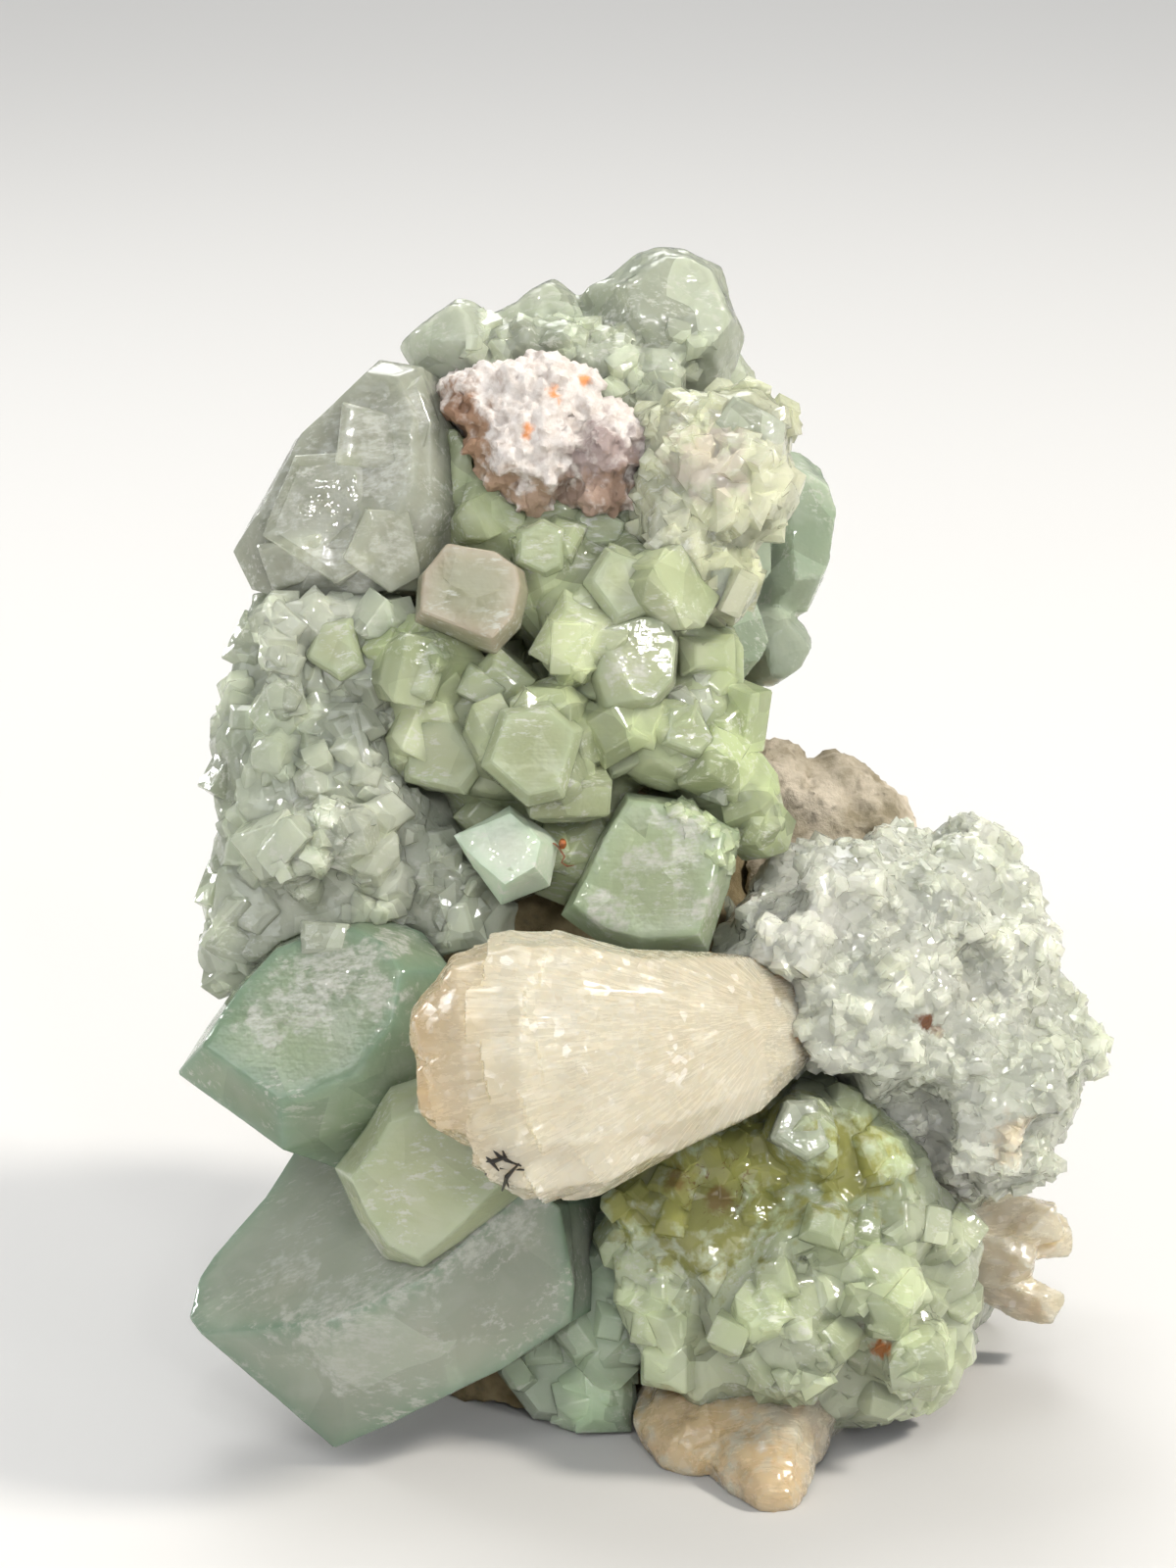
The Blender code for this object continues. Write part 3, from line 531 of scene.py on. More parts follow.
def stilbite_finish(name, stains_and_shade=()):
    """Stilbite: pearly cream that turns peach towards the edges, ribbed along its blades."""
    n = Nodes(name)
    body = n.mix(n.ramp(n.noise(110, 4), 0.35, 0.65), (0.57, 0.51, 0.37), (0.63, 0.58, 0.45))
    edge = n.add("ShaderNodeAttribute", attribute_name="rim").outputs["Fac"]
    body = n.mix(n.math("MULTIPLY", edge, 0.9), body, (0.58, 0.38, 0.16))
    along = n.add("ShaderNodeAttribute", attribute_name="blade").outputs["Vector"]
    fibres = n.noise(1500, 5, 0.65, 0.2, along)
    colour = n.mix(n.ramp(fibres, 0.48, 0.74, 0.0, 0.24), body, (0.74, 0.70, 0.60))
    flakes = n.ramp(n.add_split(n.cells(1500)), 0.86, 0.92, 0.0, 0.6)
    flakes = n.math("MULTIPLY", flakes, n.ramp(n.noise(260, 3), 0.48, 0.60))
    colour = n.mix(flakes, colour, (0.92, 0.88, 0.80))
    for point, radius, paint in stains_and_shade:
        colour = n.mix(n.near_point(point, radius), colour, paint)
    n.set("Base Color", colour)
    n.set("Roughness", n.ramp(fibres, 0.3, 0.7, 0.16, 0.36))
    n.set("IOR", 1.5)
    n.set("Transmission Weight", 0.10)
    n.shader.subsurface_method = "BURLEY"
    n.set("Subsurface Weight", 0.9)
    n.set("Subsurface Radius", (1.0, 0.72, 0.40))
    n.set("Subsurface Scale", 3.0 * MM)
    n.set("Coat Weight", 0.35)
    n.set("Coat Roughness", 0.12)
    n.set("Normal", n.bump(fibres, 0.035 * MM, 0.5, n.tilted_cells(900, 0.22)))
    return n.material


def druse_finish(stains_and_shade):
    """The white druse: matt and grainy, with painted shade towards its left, lower and right borders, and
    small orange stains.
    """
    n = Nodes("white_druse")
    grains = n.noise(900, 5, 0.7)
    colour = n.mix(n.ramp(grains, 0.3, 0.6), (0.58, 0.50, 0.44), (0.78, 0.73, 0.69))
    # Spots laid over the grain: painted shade along the borders of the druse, and small orange stains.
    for point, radius, stain_and_shade in stains_and_shade:
        colour = n.mix(n.near_point(point, radius), colour, stain_and_shade)
    n.set("Base Color", colour)
    n.set("Roughness", 0.7)
    n.shader.subsurface_method = "BURLEY"
    n.set("Subsurface Weight", 0.4)
    n.set("Subsurface Radius", (1.0, 0.9, 0.9))
    n.set("Subsurface Scale", 0.5 * MM)
    n.set("Normal", n.bump(grains, 0.2 * MM, 0.8, n.tilted_cells(2600, 0.5)))
    return n.material


def rock_finish(name, dark, pale):
    """Broken rock: grainy, mottled, with pale crusts and painted shade in small pits."""
    n = Nodes(name)
    mottle = n.noise(160, 6, 0.65)
    colour = n.mix(n.ramp(mottle, 0.38, 0.62), dark, pale)
    # Painted shade: small pits darkened towards near black at their centres.
    pit_shade = n.ramp(n.cells(700, n.warped(500, 1.0 * MM), "F1", "Distance"), 0.05, 0.30, 0.5, 0.0)
    colour = n.mix(pit_shade, colour, (0.12, 0.10, 0.07))
    n.set("Base Color", colour)
    n.set("Roughness", n.ramp(mottle, 0.3, 0.7, 0.72, 0.95))
    n.set("Normal", n.bump(n.math("ADD", mottle, n.noise(1500, 4, 0.7)), 0.3 * MM, 0.8))
    return n.material


TEAL = (0.34, 0.52, 0.36)
OLIVE_RUST = (0.40, 0.40, 0.13)
BROWN_RUST = (0.30, 0.22, 0.07)
DARK_RUST = (0.20, 0.08, 0.03)
ORANGE = (0.74, 0.30, 0.11)
BLACK = (0.02, 0.02, 0.02)


def stain_and_shade(across, down, radius, colour):
    """A coloured spot around the place that this pixel shows: a stain, and on the druse also painted shade.
    """
    return (spot(across, down), radius * MM, colour)


def veil_spots(*patches):
    """Milky spots inside a crystal, each around the place that a pixel shows."""
    return [(spot(across, down), radius * MM) for across, down, radius in patches]


FINISH = {
    "blade": crystal("blade_crystal", (0.70, 0.75, 0.60), (0.52, 0.58, 0.45), 0.55, 0.5, 0.01,
                     (240, 0.05), (150, 0.4), 20, TEAL, veils=veil_spots(
                         (330, 1350, 4.0), (375, 1345, 3.6), (430, 1300, 2.6), (480, 1268, 2.6),
                         (525, 1248, 2.2), (300, 1300, 2.6), (350, 1395, 2.6),
                         (545, 1225, 1.6), (505, 1250, 1.6), (455, 1287, 1.6), (405, 1322, 1.8))),
    "plate": crystal("plate_crystal", (0.60, 0.61, 0.48), (0.42, 0.44, 0.32), 0.50, 0.7, 0.01,
                     (300, 0.10), (180, 0.6), 0, (0.66, 0.69, 0.56), veils=veil_spots(
                         (365, 450, 3.4), (392, 478, 3.0), (360, 575, 3.0), (398, 560, 2.4),
                         (292, 520, 2.0), (320, 585, 2.4), (420, 420, 2.0))),
    "block": crystal("green_crystal", (0.50, 0.60, 0.40), (0.34, 0.45, 0.27), 0.50, 0.5, 0.01,
                     (260, 0.06), (150, 0.5), 0, TEAL, veils=veil_spots(
                         (345, 985, 3.6), (310, 1020, 3.2), (385, 1012, 2.4), (275, 1045, 2.2),
                         (400, 960, 2.2))),
    "yellow block": crystal("yellow_crystal", (0.64, 0.68, 0.43), (0.50, 0.57, 0.32), 0.40, 0.6,
                            0.03, (320, 0.08), (200, 0.4), 0, (0.62, 0.71, 0.46),
                            veils=veil_spots((380, 1262, 2.2), (640, 680, 2.0), (455, 1140, 2.4))),
    "pink block": crystal("pink_crystal", (0.58, 0.57, 0.39), (0.46, 0.47, 0.30), 0.42, 0.9, 0.05,
                          (500, 0.10), (220, 0.3), 0, (0.72, 0.60, 0.46)),
    "mint": crystal("mint_crystal", (0.90, 0.97, 0.80), (0.80, 0.91, 0.70), 0.24, 0.9, 0.02,
                    (400, 0.06), (200, 0.3), 0, (0.62, 0.78, 0.56)),
    "rhomb": crystal("rhomb_crystal", (0.64, 0.72, 0.47), (0.50, 0.60, 0.35), 0.40, 0.8, 0.03,
                     (420, 0.12), (230, 0.7), 0, (0.58, 0.72, 0.46), veils=veil_spots(
                         (700, 850, 2.6), (650, 880, 2.2), (620, 930, 2.0), (720, 920, 2.2))),
    "clear": crystal("clear_group", (0.70, 0.74, 0.59), (0.55, 0.61, 0.45), 0.36, 0.7, 0.02,
                     (1100, 0.26), (210, 0.7)),
    "olive": crystal("olive_group", (0.65, 0.71, 0.45), (0.51, 0.59, 0.33), 0.36, 0.55, 0.02,
                     (520, 0.12), (200, 0.7)),
    "green": crystal("green_group", (0.62, 0.71, 0.54), (0.44, 0.56, 0.38), 0.38, 0.6, 0.03,
                     (600, 0.15), (200, 0.6)),
    "fan": crystal("fan_group", (0.70, 0.76, 0.52), (0.55, 0.63, 0.38), 0.36, 0.6, 0.02,
                   (800, 0.20), (210, 0.8), 0, None,
                   [stain_and_shade(660, 1212, 6.0, OLIVE_RUST), stain_and_shade(760, 1182, 7.6, OLIVE_RUST),
                    stain_and_shade(710, 1240, 6.0, OLIVE_RUST), stain_and_shade(862, 1185, 5.0, OLIVE_RUST),
                    stain_and_shade(690, 1205, 1.6, BROWN_RUST), stain_and_shade(735, 1225, 1.5, BROWN_RUST),
                    stain_and_shade(830, 1262, 1.0, BLACK), stain_and_shade(818, 1285, 0.8, BLACK),
                    stain_and_shade(878, 1345, 1.0, DARK_RUST), stain_and_shade(905, 1376, 1.5, ORANGE)],
                   [(spot(735, 1205), 5.0 * MM, DARK_RUST), (spot(820, 1275), 2.0 * MM, BLACK)]),
    "sugary": crystal("sugary_group", (0.80, 0.80, 0.70), (0.68, 0.71, 0.58), 0.34, 0.8, 0.01,
                      (1500, 0.45), (260, 0.4), 0, None,
                      [stain_and_shade(939, 1036, 0.9, DARK_RUST), stain_and_shade(946, 1044, 0.9, DARK_RUST),
                       stain_and_shade(954, 1052, 0.9, (0.3, 0.16, 0.08)),
                       stain_and_shade(962, 1060, 0.8, (0.3, 0.16, 0.08)),
                       stain_and_shade(1035, 1160, 2.6, (0.74, 0.66, 0.50))]),
    "shoulder": crystal("shoulder_group", (0.74, 0.74, 0.56), (0.60, 0.63, 0.42), 0.32, 0.8, 0.02,
                        (1100, 0.35), (240, 0.5), 0, None,
                        [stain_and_shade(725, 470, 4.0, (0.72, 0.66, 0.54)),
                         stain_and_shade(777, 522, 0.7, DARK_RUST)]),
    "stilbite": stilbite_finish("stilbite"),
    "foot": stilbite_finish("foot_stilbite", [
        stain_and_shade(700, 1450, 9.0, (0.60, 0.46, 0.27)), stain_and_shade(790, 1515, 7.0, (0.62, 0.47, 0.28)),
        stain_and_shade(830, 1475, 5.0, (0.58, 0.50, 0.36))]),
    # On the druse, the brown, dark brown and grey-purple spots are painted shade on its left, lower and
    # right borders. The three orange spots are stains.
    "druse": druse_finish([
        stain_and_shade(470, 425, 3.6, (0.32, 0.19, 0.12)), stain_and_shade(484, 455, 2.8, (0.34, 0.21, 0.13)),
        stain_and_shade(510, 490, 3.2, (0.40, 0.27, 0.18)), stain_and_shade(550, 512, 2.8, (0.44, 0.31, 0.22)),
        stain_and_shade(615, 470, 4.2, (0.38, 0.30, 0.28)), stain_and_shade(625, 508, 3.4, (0.33, 0.22, 0.16)),
        stain_and_shade(590, 505, 2.6, (0.38, 0.27, 0.21)), stain_and_shade(562, 406, 1.0, ORANGE),
        stain_and_shade(594, 387, 0.8, ORANGE), stain_and_shade(538, 440, 0.8, ORANGE)]),
    "rock": rock_finish("matrix_rock", (0.16, 0.12, 0.05), (0.40, 0.32, 0.18)),
    "pale rock": rock_finish("pale_rock", (0.26, 0.22, 0.14), (0.66, 0.58, 0.46)),
}


# Pieces

def mark_rim(mesh, segments, width):
    """Give each vertex its closeness to these edges, for the colour of the material."""
    points = places(mesh)
    nearest = np.full(len(points), 1.0)
    for start, end in segments:
        along = end - start
        share = np.clip((points - start) @ along / max(along @ along, 1e-12), 0, 1)
        away = np.linalg.norm(points - start - share[:, None] * along, axis=1)
        nearest = np.minimum(nearest, away)
    rim = mesh.attributes.new("rim", "FLOAT", "POINT")
    rim.data.foreach_set("value", np.exp(-nearest / width))


def sharp_edges(bm, least=0.5):
    return [e for e in bm.edges
            if len(e.link_faces) == 2 and e.calc_face_angle_signed(0) > least]


def cut_flat(bm, facing, depth):
    """Cut the tip off with a flat face across this direction, this far behind its peak."""
    reach = max(vert.co.dot(facing) for vert in bm.verts) - depth
    result = bmesh.ops.bisect_plane(
        bm, geom=bm.verts[:] + bm.edges[:] + bm.faces[:], plane_co=facing * reach,
        plane_no=facing, clear_outer=True)
    edges = [item for item in result["geom_cut"] if isinstance(item, bmesh.types.BMEdge)]
    bmesh.ops.holes_fill(bm, edges=edges)
    bmesh.ops.triangulate(bm, faces=bm.faces)
    bm.normal_update()


def clear_crystal(node, finish, relief=0.04, rim_width=1.2, bevel=EDGE_BEVEL, cut=None):
    """A single crystal: sharp bevelled edges, flat faces with faint growth steps."""
    bm = welded(node)
    if cut:
        cut_flat(bm, Vector(cut[0]).normalized(), cut[1] * MM)
    sharp = sharp_edges(bm, 0.3)
    segments = [(np.array(e.verts[0].co), np.array(e.verts[1].co))
                for e in sharp_edges(bm, 0.65)]
    bmesh.ops.bevel(bm, geom=sharp, offset=bevel, segments=1, affect="EDGES",
                    profile=0.5, clamp_overlap=True)
    bmesh.ops.triangulate(bm, faces=bm.faces)
    refine(bm, 0.85 * MM)
    mesh = to_mesh(bm, node)
    points, normals = places(mesh), directions(mesh)
    steps = np.floor(soft_noise(points, 4 * MM, 3) * 4) / 4
    fine = np.minimum(intergrown(points, 2.2 * MM, 7), 0.1)
    points = points + normals * ((steps * relief + fine * relief) * MM)[:, None]
    move_to(mesh, points)
    mark_rim(mesh, segments, rim_width * MM)
    shade(mesh, 12)
    piece = add_piece(node + "_skin", mesh, [FINISH[finish]])
    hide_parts(node)
    return piece


def crystal_group(node, finish, voxel, layers, grains=None, close=0.0, soften=0,
                  keep=0.45, crisp=18, blades=None):
    """Intergrown crystals: one closed skin, pushed in and out by ever smaller crystals."""
    seed = sum(map(ord, node))
    mesh = to_mesh(welded(node), node)
    if close:
        mesh = with_gaps_closed(voxels(mesh, 0.30 * MM), close * MM, 0.30 * MM)
    if soften:
        mesh = with_modifier(mesh, "SMOOTH", factor=0.5, iterations=soften)
    if grains:
        mesh = with_crystals(mesh, *grains, seed)
    mesh = voxels(mesh, voxel * MM)
    points, normals = places(mesh), directions(mesh)
    for number, (spacing, amount, flat, zone, *space) in enumerate(layers):
        where = space[0](points) if space else points
        height = np.minimum(intergrown(where, spacing * MM, seed + number), flat) + 0.25
        points = points + normals * (height * amount * MM * zone(points))[:, None]
    move_to(mesh, points)
    mesh = with_modifier(mesh, "DECIMATE", ratio=keep)
    if blades:
        along = mesh.attributes.new("blade", "FLOAT_VECTOR", "POINT")
        along.data.foreach_set("vector", (places(mesh) * np.array(blades)).ravel())
    shade(mesh, crisp)
    piece = add_piece(node + "_skin", mesh, [FINISH[finish]])
    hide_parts(node)
    return piece


def crisp_crystals(name, skin, finish, count, size, tilt, sunk, zone=everywhere, seed=1,
                   bevel=0.0):
    """Small crystals with sharp edges that stand on the open surface of a skin."""
    rng = np.random.default_rng(seed)
    spots, normals = open_spots(places(skin.data), triangles(skin.data), count, rng)
    kept = zone(spots) > rng.random(len(spots))
    spots, normals = spots[kept], normals[kept]
    sizes = np.minimum(np.exp(rng.normal(0.0, 0.35, len(spots))), 1.35) * size * MM
    spots = spots - normals * (sizes * sunk)[:, None]
    points, faces = small_crystals(spots, normals, sizes, rng, tilt)
    mesh = bpy.data.meshes.new(name)
    mesh.from_pydata(points.tolist(), [], faces)
    mesh.update()
    if bevel:
        mesh = with_modifier(mesh, "BEVEL", width=bevel * MM, segments=1,
                             limit_method="ANGLE", angle_limit=math.radians(20))
    return add_piece(name, mesh, [FINISH[finish]])


def set_crystals(name, rows, finish, deep=3.0):
    """Larger crystals, each where the photograph shows one, with a flat face towards the front.

    A row is: pixel, pixel, width in mm, corners, turn in degrees, lean right, lean up, height.
    """
    whole = bmesh.new()
    segments = []
    for across, down, width, corners, turn, right, up, proud in rows:
        place, normal = spot_and_normal(across, down)
        facing = (normal * 0.6 - TOWARDS + Vector((right, 0, up))).normalized()
        side = facing.cross(Vector((0, 0, 1))).normalized()
        other = facing.cross(side)
        bm = bmesh.new()
        rings = []
        for scale, height in ((1.0, -deep), (1.0, proud * 0.35), (0.80, proud)):
            ring = []
            for corner in range(corners):
                angle = math.radians(turn) + 2 * math.pi * (corner + 0.2 * math.sin(corner * 2.4)) / corners
                out = side * math.cos(angle) + other * math.sin(angle)
                point = place + out * scale * width / 2 * MM + facing * height * MM
                ring.append(bm.verts.new(point))
            rings.append(ring)
        bm.faces.new(rings[0])
        bm.faces.new(rings[-1])
        for low, high in zip(rings, rings[1:]):
            for corner in range(corners):
                nxt = (corner + 1) % corners
                bm.faces.new((low[corner], low[nxt], high[nxt], high[corner]))
        bmesh.ops.recalc_face_normals(bm, faces=bm.faces)
        sharp = sharp_edges(bm, 0.3)
        segments += [(np.array(e.verts[0].co), np.array(e.verts[1].co)) for e in sharp]
        bmesh.ops.bevel(bm, geom=sharp, offset=0.14 * MM, segments=1, affect="EDGES",
                        profile=0.5, clamp_overlap=True)
        bmesh.ops.triangulate(bm, faces=bm.faces)
        refine(bm, 0.9 * MM)
        part = to_mesh(bm, "part")
        whole.from_mesh(part)
        bpy.data.meshes.remove(part)
    mesh = to_mesh(whole, name)
    points, normals = places(mesh), directions(mesh)
    steps = np.floor(soft_noise(points, 3 * MM, 6) * 4) / 4
    fine = np.minimum(intergrown(points, 1.8 * MM, 9), 0.1)
    move_to(mesh, points + normals * ((steps * 0.06 + fine * 0.08) * MM)[:, None])
    mark_rim(mesh, segments, 0.7 * MM)
    shade(mesh, 12)
    return add_piece(name, mesh, [FINISH[finish]])


def rough_skin(node, finish, voxel, layers, grains=None, keep=0.4):
    """A rock or crust: its solid pushed in and out by noise."""
    mesh = to_mesh(welded(node), node)
    if grains:
        mesh = with_crystals(mesh, *grains, 5)
    mesh = voxels(mesh, voxel * MM)
    points, normals = places(mesh), directions(mesh)
    for number, (size, amount) in enumerate(layers):
        height = soft_noise(points, size * MM, number) * amount * MM
        points = points + normals * height[:, None]
    move_to(mesh, points)
    mesh = with_modifier(mesh, "DECIMATE", ratio=keep)
    shade(mesh, 50)
    piece = add_piece(node + "_skin", mesh, [FINISH[finish]])
    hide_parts(node)
    return piece


def sheaf_place(points):
    """Angle, distance from the neck, and depth of points on the sheaf, as its blades run."""
    neck = np.array(spot(800, 1030)) + np.array(TOWARDS) * 3 * MM
    offset = points - neck
    across = -offset[:, 0]
    up = offset @ np.array(UPWARD)
    angle = np.arctan2(up, np.maximum(across, 2 * MM))
    return angle, np.hypot(across, up), offset @ np.array(TOWARDS), across


def stilbite_sheaf():
    """The bow-shaped sheaf: ribs that fan out from its neck, and stepped blade ends."""
    bm = welded("stilbite_sheaf")
    mesh = voxels(to_mesh(bm, "sheaf"), 0.24 * MM)
    points, normals = places(mesh), directions(mesh)
    angle, reach, depth, _ = sheaf_place(points)
    spread = np.clip((reach - 6 * MM) / (22 * MM), 0.1, 1.0)
    ribs = np.stack([angle * 0.06, reach * 0.25, depth * 0.5], 1)
    coarse = soft_noise(ribs, 3.0 * MM, 2)
    fine = soft_noise(ribs * np.array([3.0, 1.0, 3.0]), 3.0 * MM, 5)
    band = angle / 0.20 + 0.6 * np.sin(depth / (3 * MM))
    offset = np.sin(np.floor(band) * 12.9898 + 4.0) * 3.7
    saw = (reach / (4.4 * MM) + offset) % 1.0
    petal = saw ** 1.5 * np.sqrt(np.clip(1 - (2 * (band % 1.0) - 1) ** 4, 0, 1))
    outer = np.clip((reach - 18 * MM) / (8 * MM), 0, 1)
    lift = coarse * 0.14 * spread + fine * 0.06 + petal * 0.70 * outer
    points = points + normals * (lift * MM)[:, None]
    move_to(mesh, points)
    mesh = with_modifier(mesh, "DECIMATE", ratio=0.6)
    angle, reach, depth, across = sheaf_place(places(mesh))
    rim = mesh.attributes.new("rim", "FLOAT", "POINT")
    rim.data.foreach_set("value", np.clip((across - 23 * MM) / (9 * MM), 0, 1))
    along = mesh.attributes.new("blade", "FLOAT_VECTOR", "POINT")
    blade = np.stack([angle * 0.030, reach * 0.12, depth * 0.7], 1)
    along.data.foreach_set("vector", blade.ravel())
    shade(mesh, 26)
    piece = add_piece("stilbite_sheaf_skin", mesh, [FINISH["stilbite"]])
    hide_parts("stilbite_sheaf")


def needles(name, routes, width, finish):
    """Thin straight-sided threads, each along its own route of points."""
    points, faces = [], []
    for route in routes:
        first = len(points)
        for number, place in enumerate(route):
            ahead = route[min(number + 1, len(route) - 1)] - route[max(number - 1, 0)]
            side = ahead.cross(TOWARDS).normalized()
            up = side.cross(ahead).normalized()
            taper = width * (0.35 if number in (0, len(route) - 1) else 1.0)
            for corner in range(6):
                turn = corner * math.pi / 3
                out = side * math.cos(turn) + up * math.sin(turn)
                points.append(place + out * taper / 2)
        for ring in range(len(route) - 1):
            for corner in range(6):
                a = first + ring * 6 + corner
                b = first + ring * 6 + (corner + 1) % 6
                faces.append((a, b, b + 6, a + 6))
        faces.append(tuple(first + corner for corner in reversed(range(6))))
        faces.append(tuple(first + (len(route) - 1) * 6 + corner for corner in range(6)))
    mesh = bpy.data.meshes.new(name)
    mesh.from_pydata([tuple(p) for p in points], [], faces)
    mesh.update()
    return add_piece(name, mesh, [finish])


def on_surface(across, down, lift):
    place, normal = spot_and_normal(across, down)
    return place + normal * lift * MM


TUFT_NEEDLES = [
    [(497, 1196), (506, 1186), (516, 1172)], [(503, 1166), (512, 1176), (526, 1184)],
    [(496, 1180), (508, 1180), (521, 1176)], [(509, 1208), (512, 1194), (519, 1180)],
    [(501, 1190), (514, 1188), (534, 1190)], [(517, 1208), (521, 1196), (528, 1182)],
    [(506, 1172), (509, 1184), (507, 1197)], [(515, 1170), (519, 1180), (531, 1186)],
    [(499, 1174), (505, 1180), (513, 1190)], [(521, 1209), (518, 1199), (512, 1190)],
]
THREAD = [(566, 861), (571, 866), (576, 874), (573, 880), (579, 884), (586, 883)]
THREAD_DROP = (574, 861)


def plain_finish(name, colour, rough):
    n = Nodes(name)
    dark = tuple(part * 0.5 for part in colour)
    n.set("Base Color", n.mix(n.ramp(n.noise(2500, 3), 0.4, 0.6), dark, colour))
    n.set("Roughness", rough)
    return n.material


def small_finds():
    """The black tuft on the sheaf, and the red-brown thread with its drop."""
    tuft = [[on_surface(u, v, 0.25 + 0.20 * (k % 3)) for u, v in route]
            for k, route in enumerate(TUFT_NEEDLES)]
    needles("black_tuft", tuft, 0.40 * MM, plain_finish("black_needle", (0.02, 0.015, 0.01), 0.4))
    start = on_surface(THREAD[0][0] - 4, THREAD[0][1], 0.1)
    thread = [start]
    for u, v in THREAD:
        thread.append(EYE + view_ray(u, v) * (start - EYE).length)
    brown = plain_finish("brown_thread", (0.34, 0.12, 0.05), 0.35)
    needles("brown_thread", [thread], 0.16 * MM, brown)
    bm = bmesh.new()
    bmesh.ops.create_icosphere(bm, subdivisions=2, radius=0.34 * MM)
    drop = EYE + view_ray(*THREAD_DROP) * (start - EYE).length
    bmesh.ops.translate(bm, verts=bm.verts, vec=drop)
    for vert in bm.verts:
        vert.co.z += (vert.co.z - drop.z) * 0.4
    mesh = to_mesh(bm, "brown_drop")
    shade(mesh, 60)
    add_piece("brown_drop", mesh, [plain_finish("brown_drop", (0.50, 0.16, 0.05), 0.15)])


CENTRE_CRYSTALS = [
    (545, 768, 9.2, 6, 15, 0.00, 0.10, 1.8), (452, 768, 8.2, 5, 40, -0.20, 0.05, 1.2),
    (425, 680, 6.4, 6, 10, -0.20, 0.20, 1.3), (640, 598, 7.6, 5, 70, 0.10, 0.30, 1.3),
    (530, 650, 5.6, 4, 30, -0.10, -0.10, 1.0), (345, 662, 5.8, 5, 20, -0.35, 0.10, 1.1),
    (612, 538, 5.0, 5, 55, 0.10, 0.20, 1.3), (552, 560, 5.2, 6, 30, -0.10, 0.15, 1.1),
    (640, 765, 5.8, 4, 65, 0.15, -0.05, 1.2), (700, 745, 5.4, 5, 25, 0.25, 0.10, 1.2),
    (600, 690, 5.0, 5, 45, 0.00, -0.20, 1.0), (492, 700, 5.0, 4, 15, -0.15, 0.00, 1.0),
]
CLEAR_CRYSTALS = [
    (345, 758, 7.8, 5, 20, -0.20, 0.15, 0.7), (292, 634, 4.2, 4, 10, -0.20, 0.10, 0.9),
    (290, 674, 3.8, 4, 30, -0.20, 0.00, 0.8), (288, 710, 3.4, 5, 50, -0.20, -0.10, 0.6),
    (250, 915, 7.0, 5, 35, -0.35, 0.05, 0.5), (468, 930, 4.8, 4, 25, 0.10, 0.15, 0.5),
    (765, 440, 6.6, 5, 60, 0.25, 0.15, 0.6), (818, 1152, 5.6, 5, 15, 0.10, 0.20, 1.0),
    (745, 600, 4.8, 5, 35, 0.20, 0.05, 0.6), (330, 955, 5.0, 4, 45, -0.15, 0.20, 0.4),
]
PLATE_STEPS = [
    (335, 525, 12.0, 5, 20, -0.15, 0.10, 0.40), (388, 445, 9.0, 4, 35, 0.00, 0.25, 0.40),
    (298, 570, 7.0, 4, 60, -0.30, -0.10, 0.40), (395, 560, 7.5, 5, 10, 0.10, -0.10, 0.30),
]


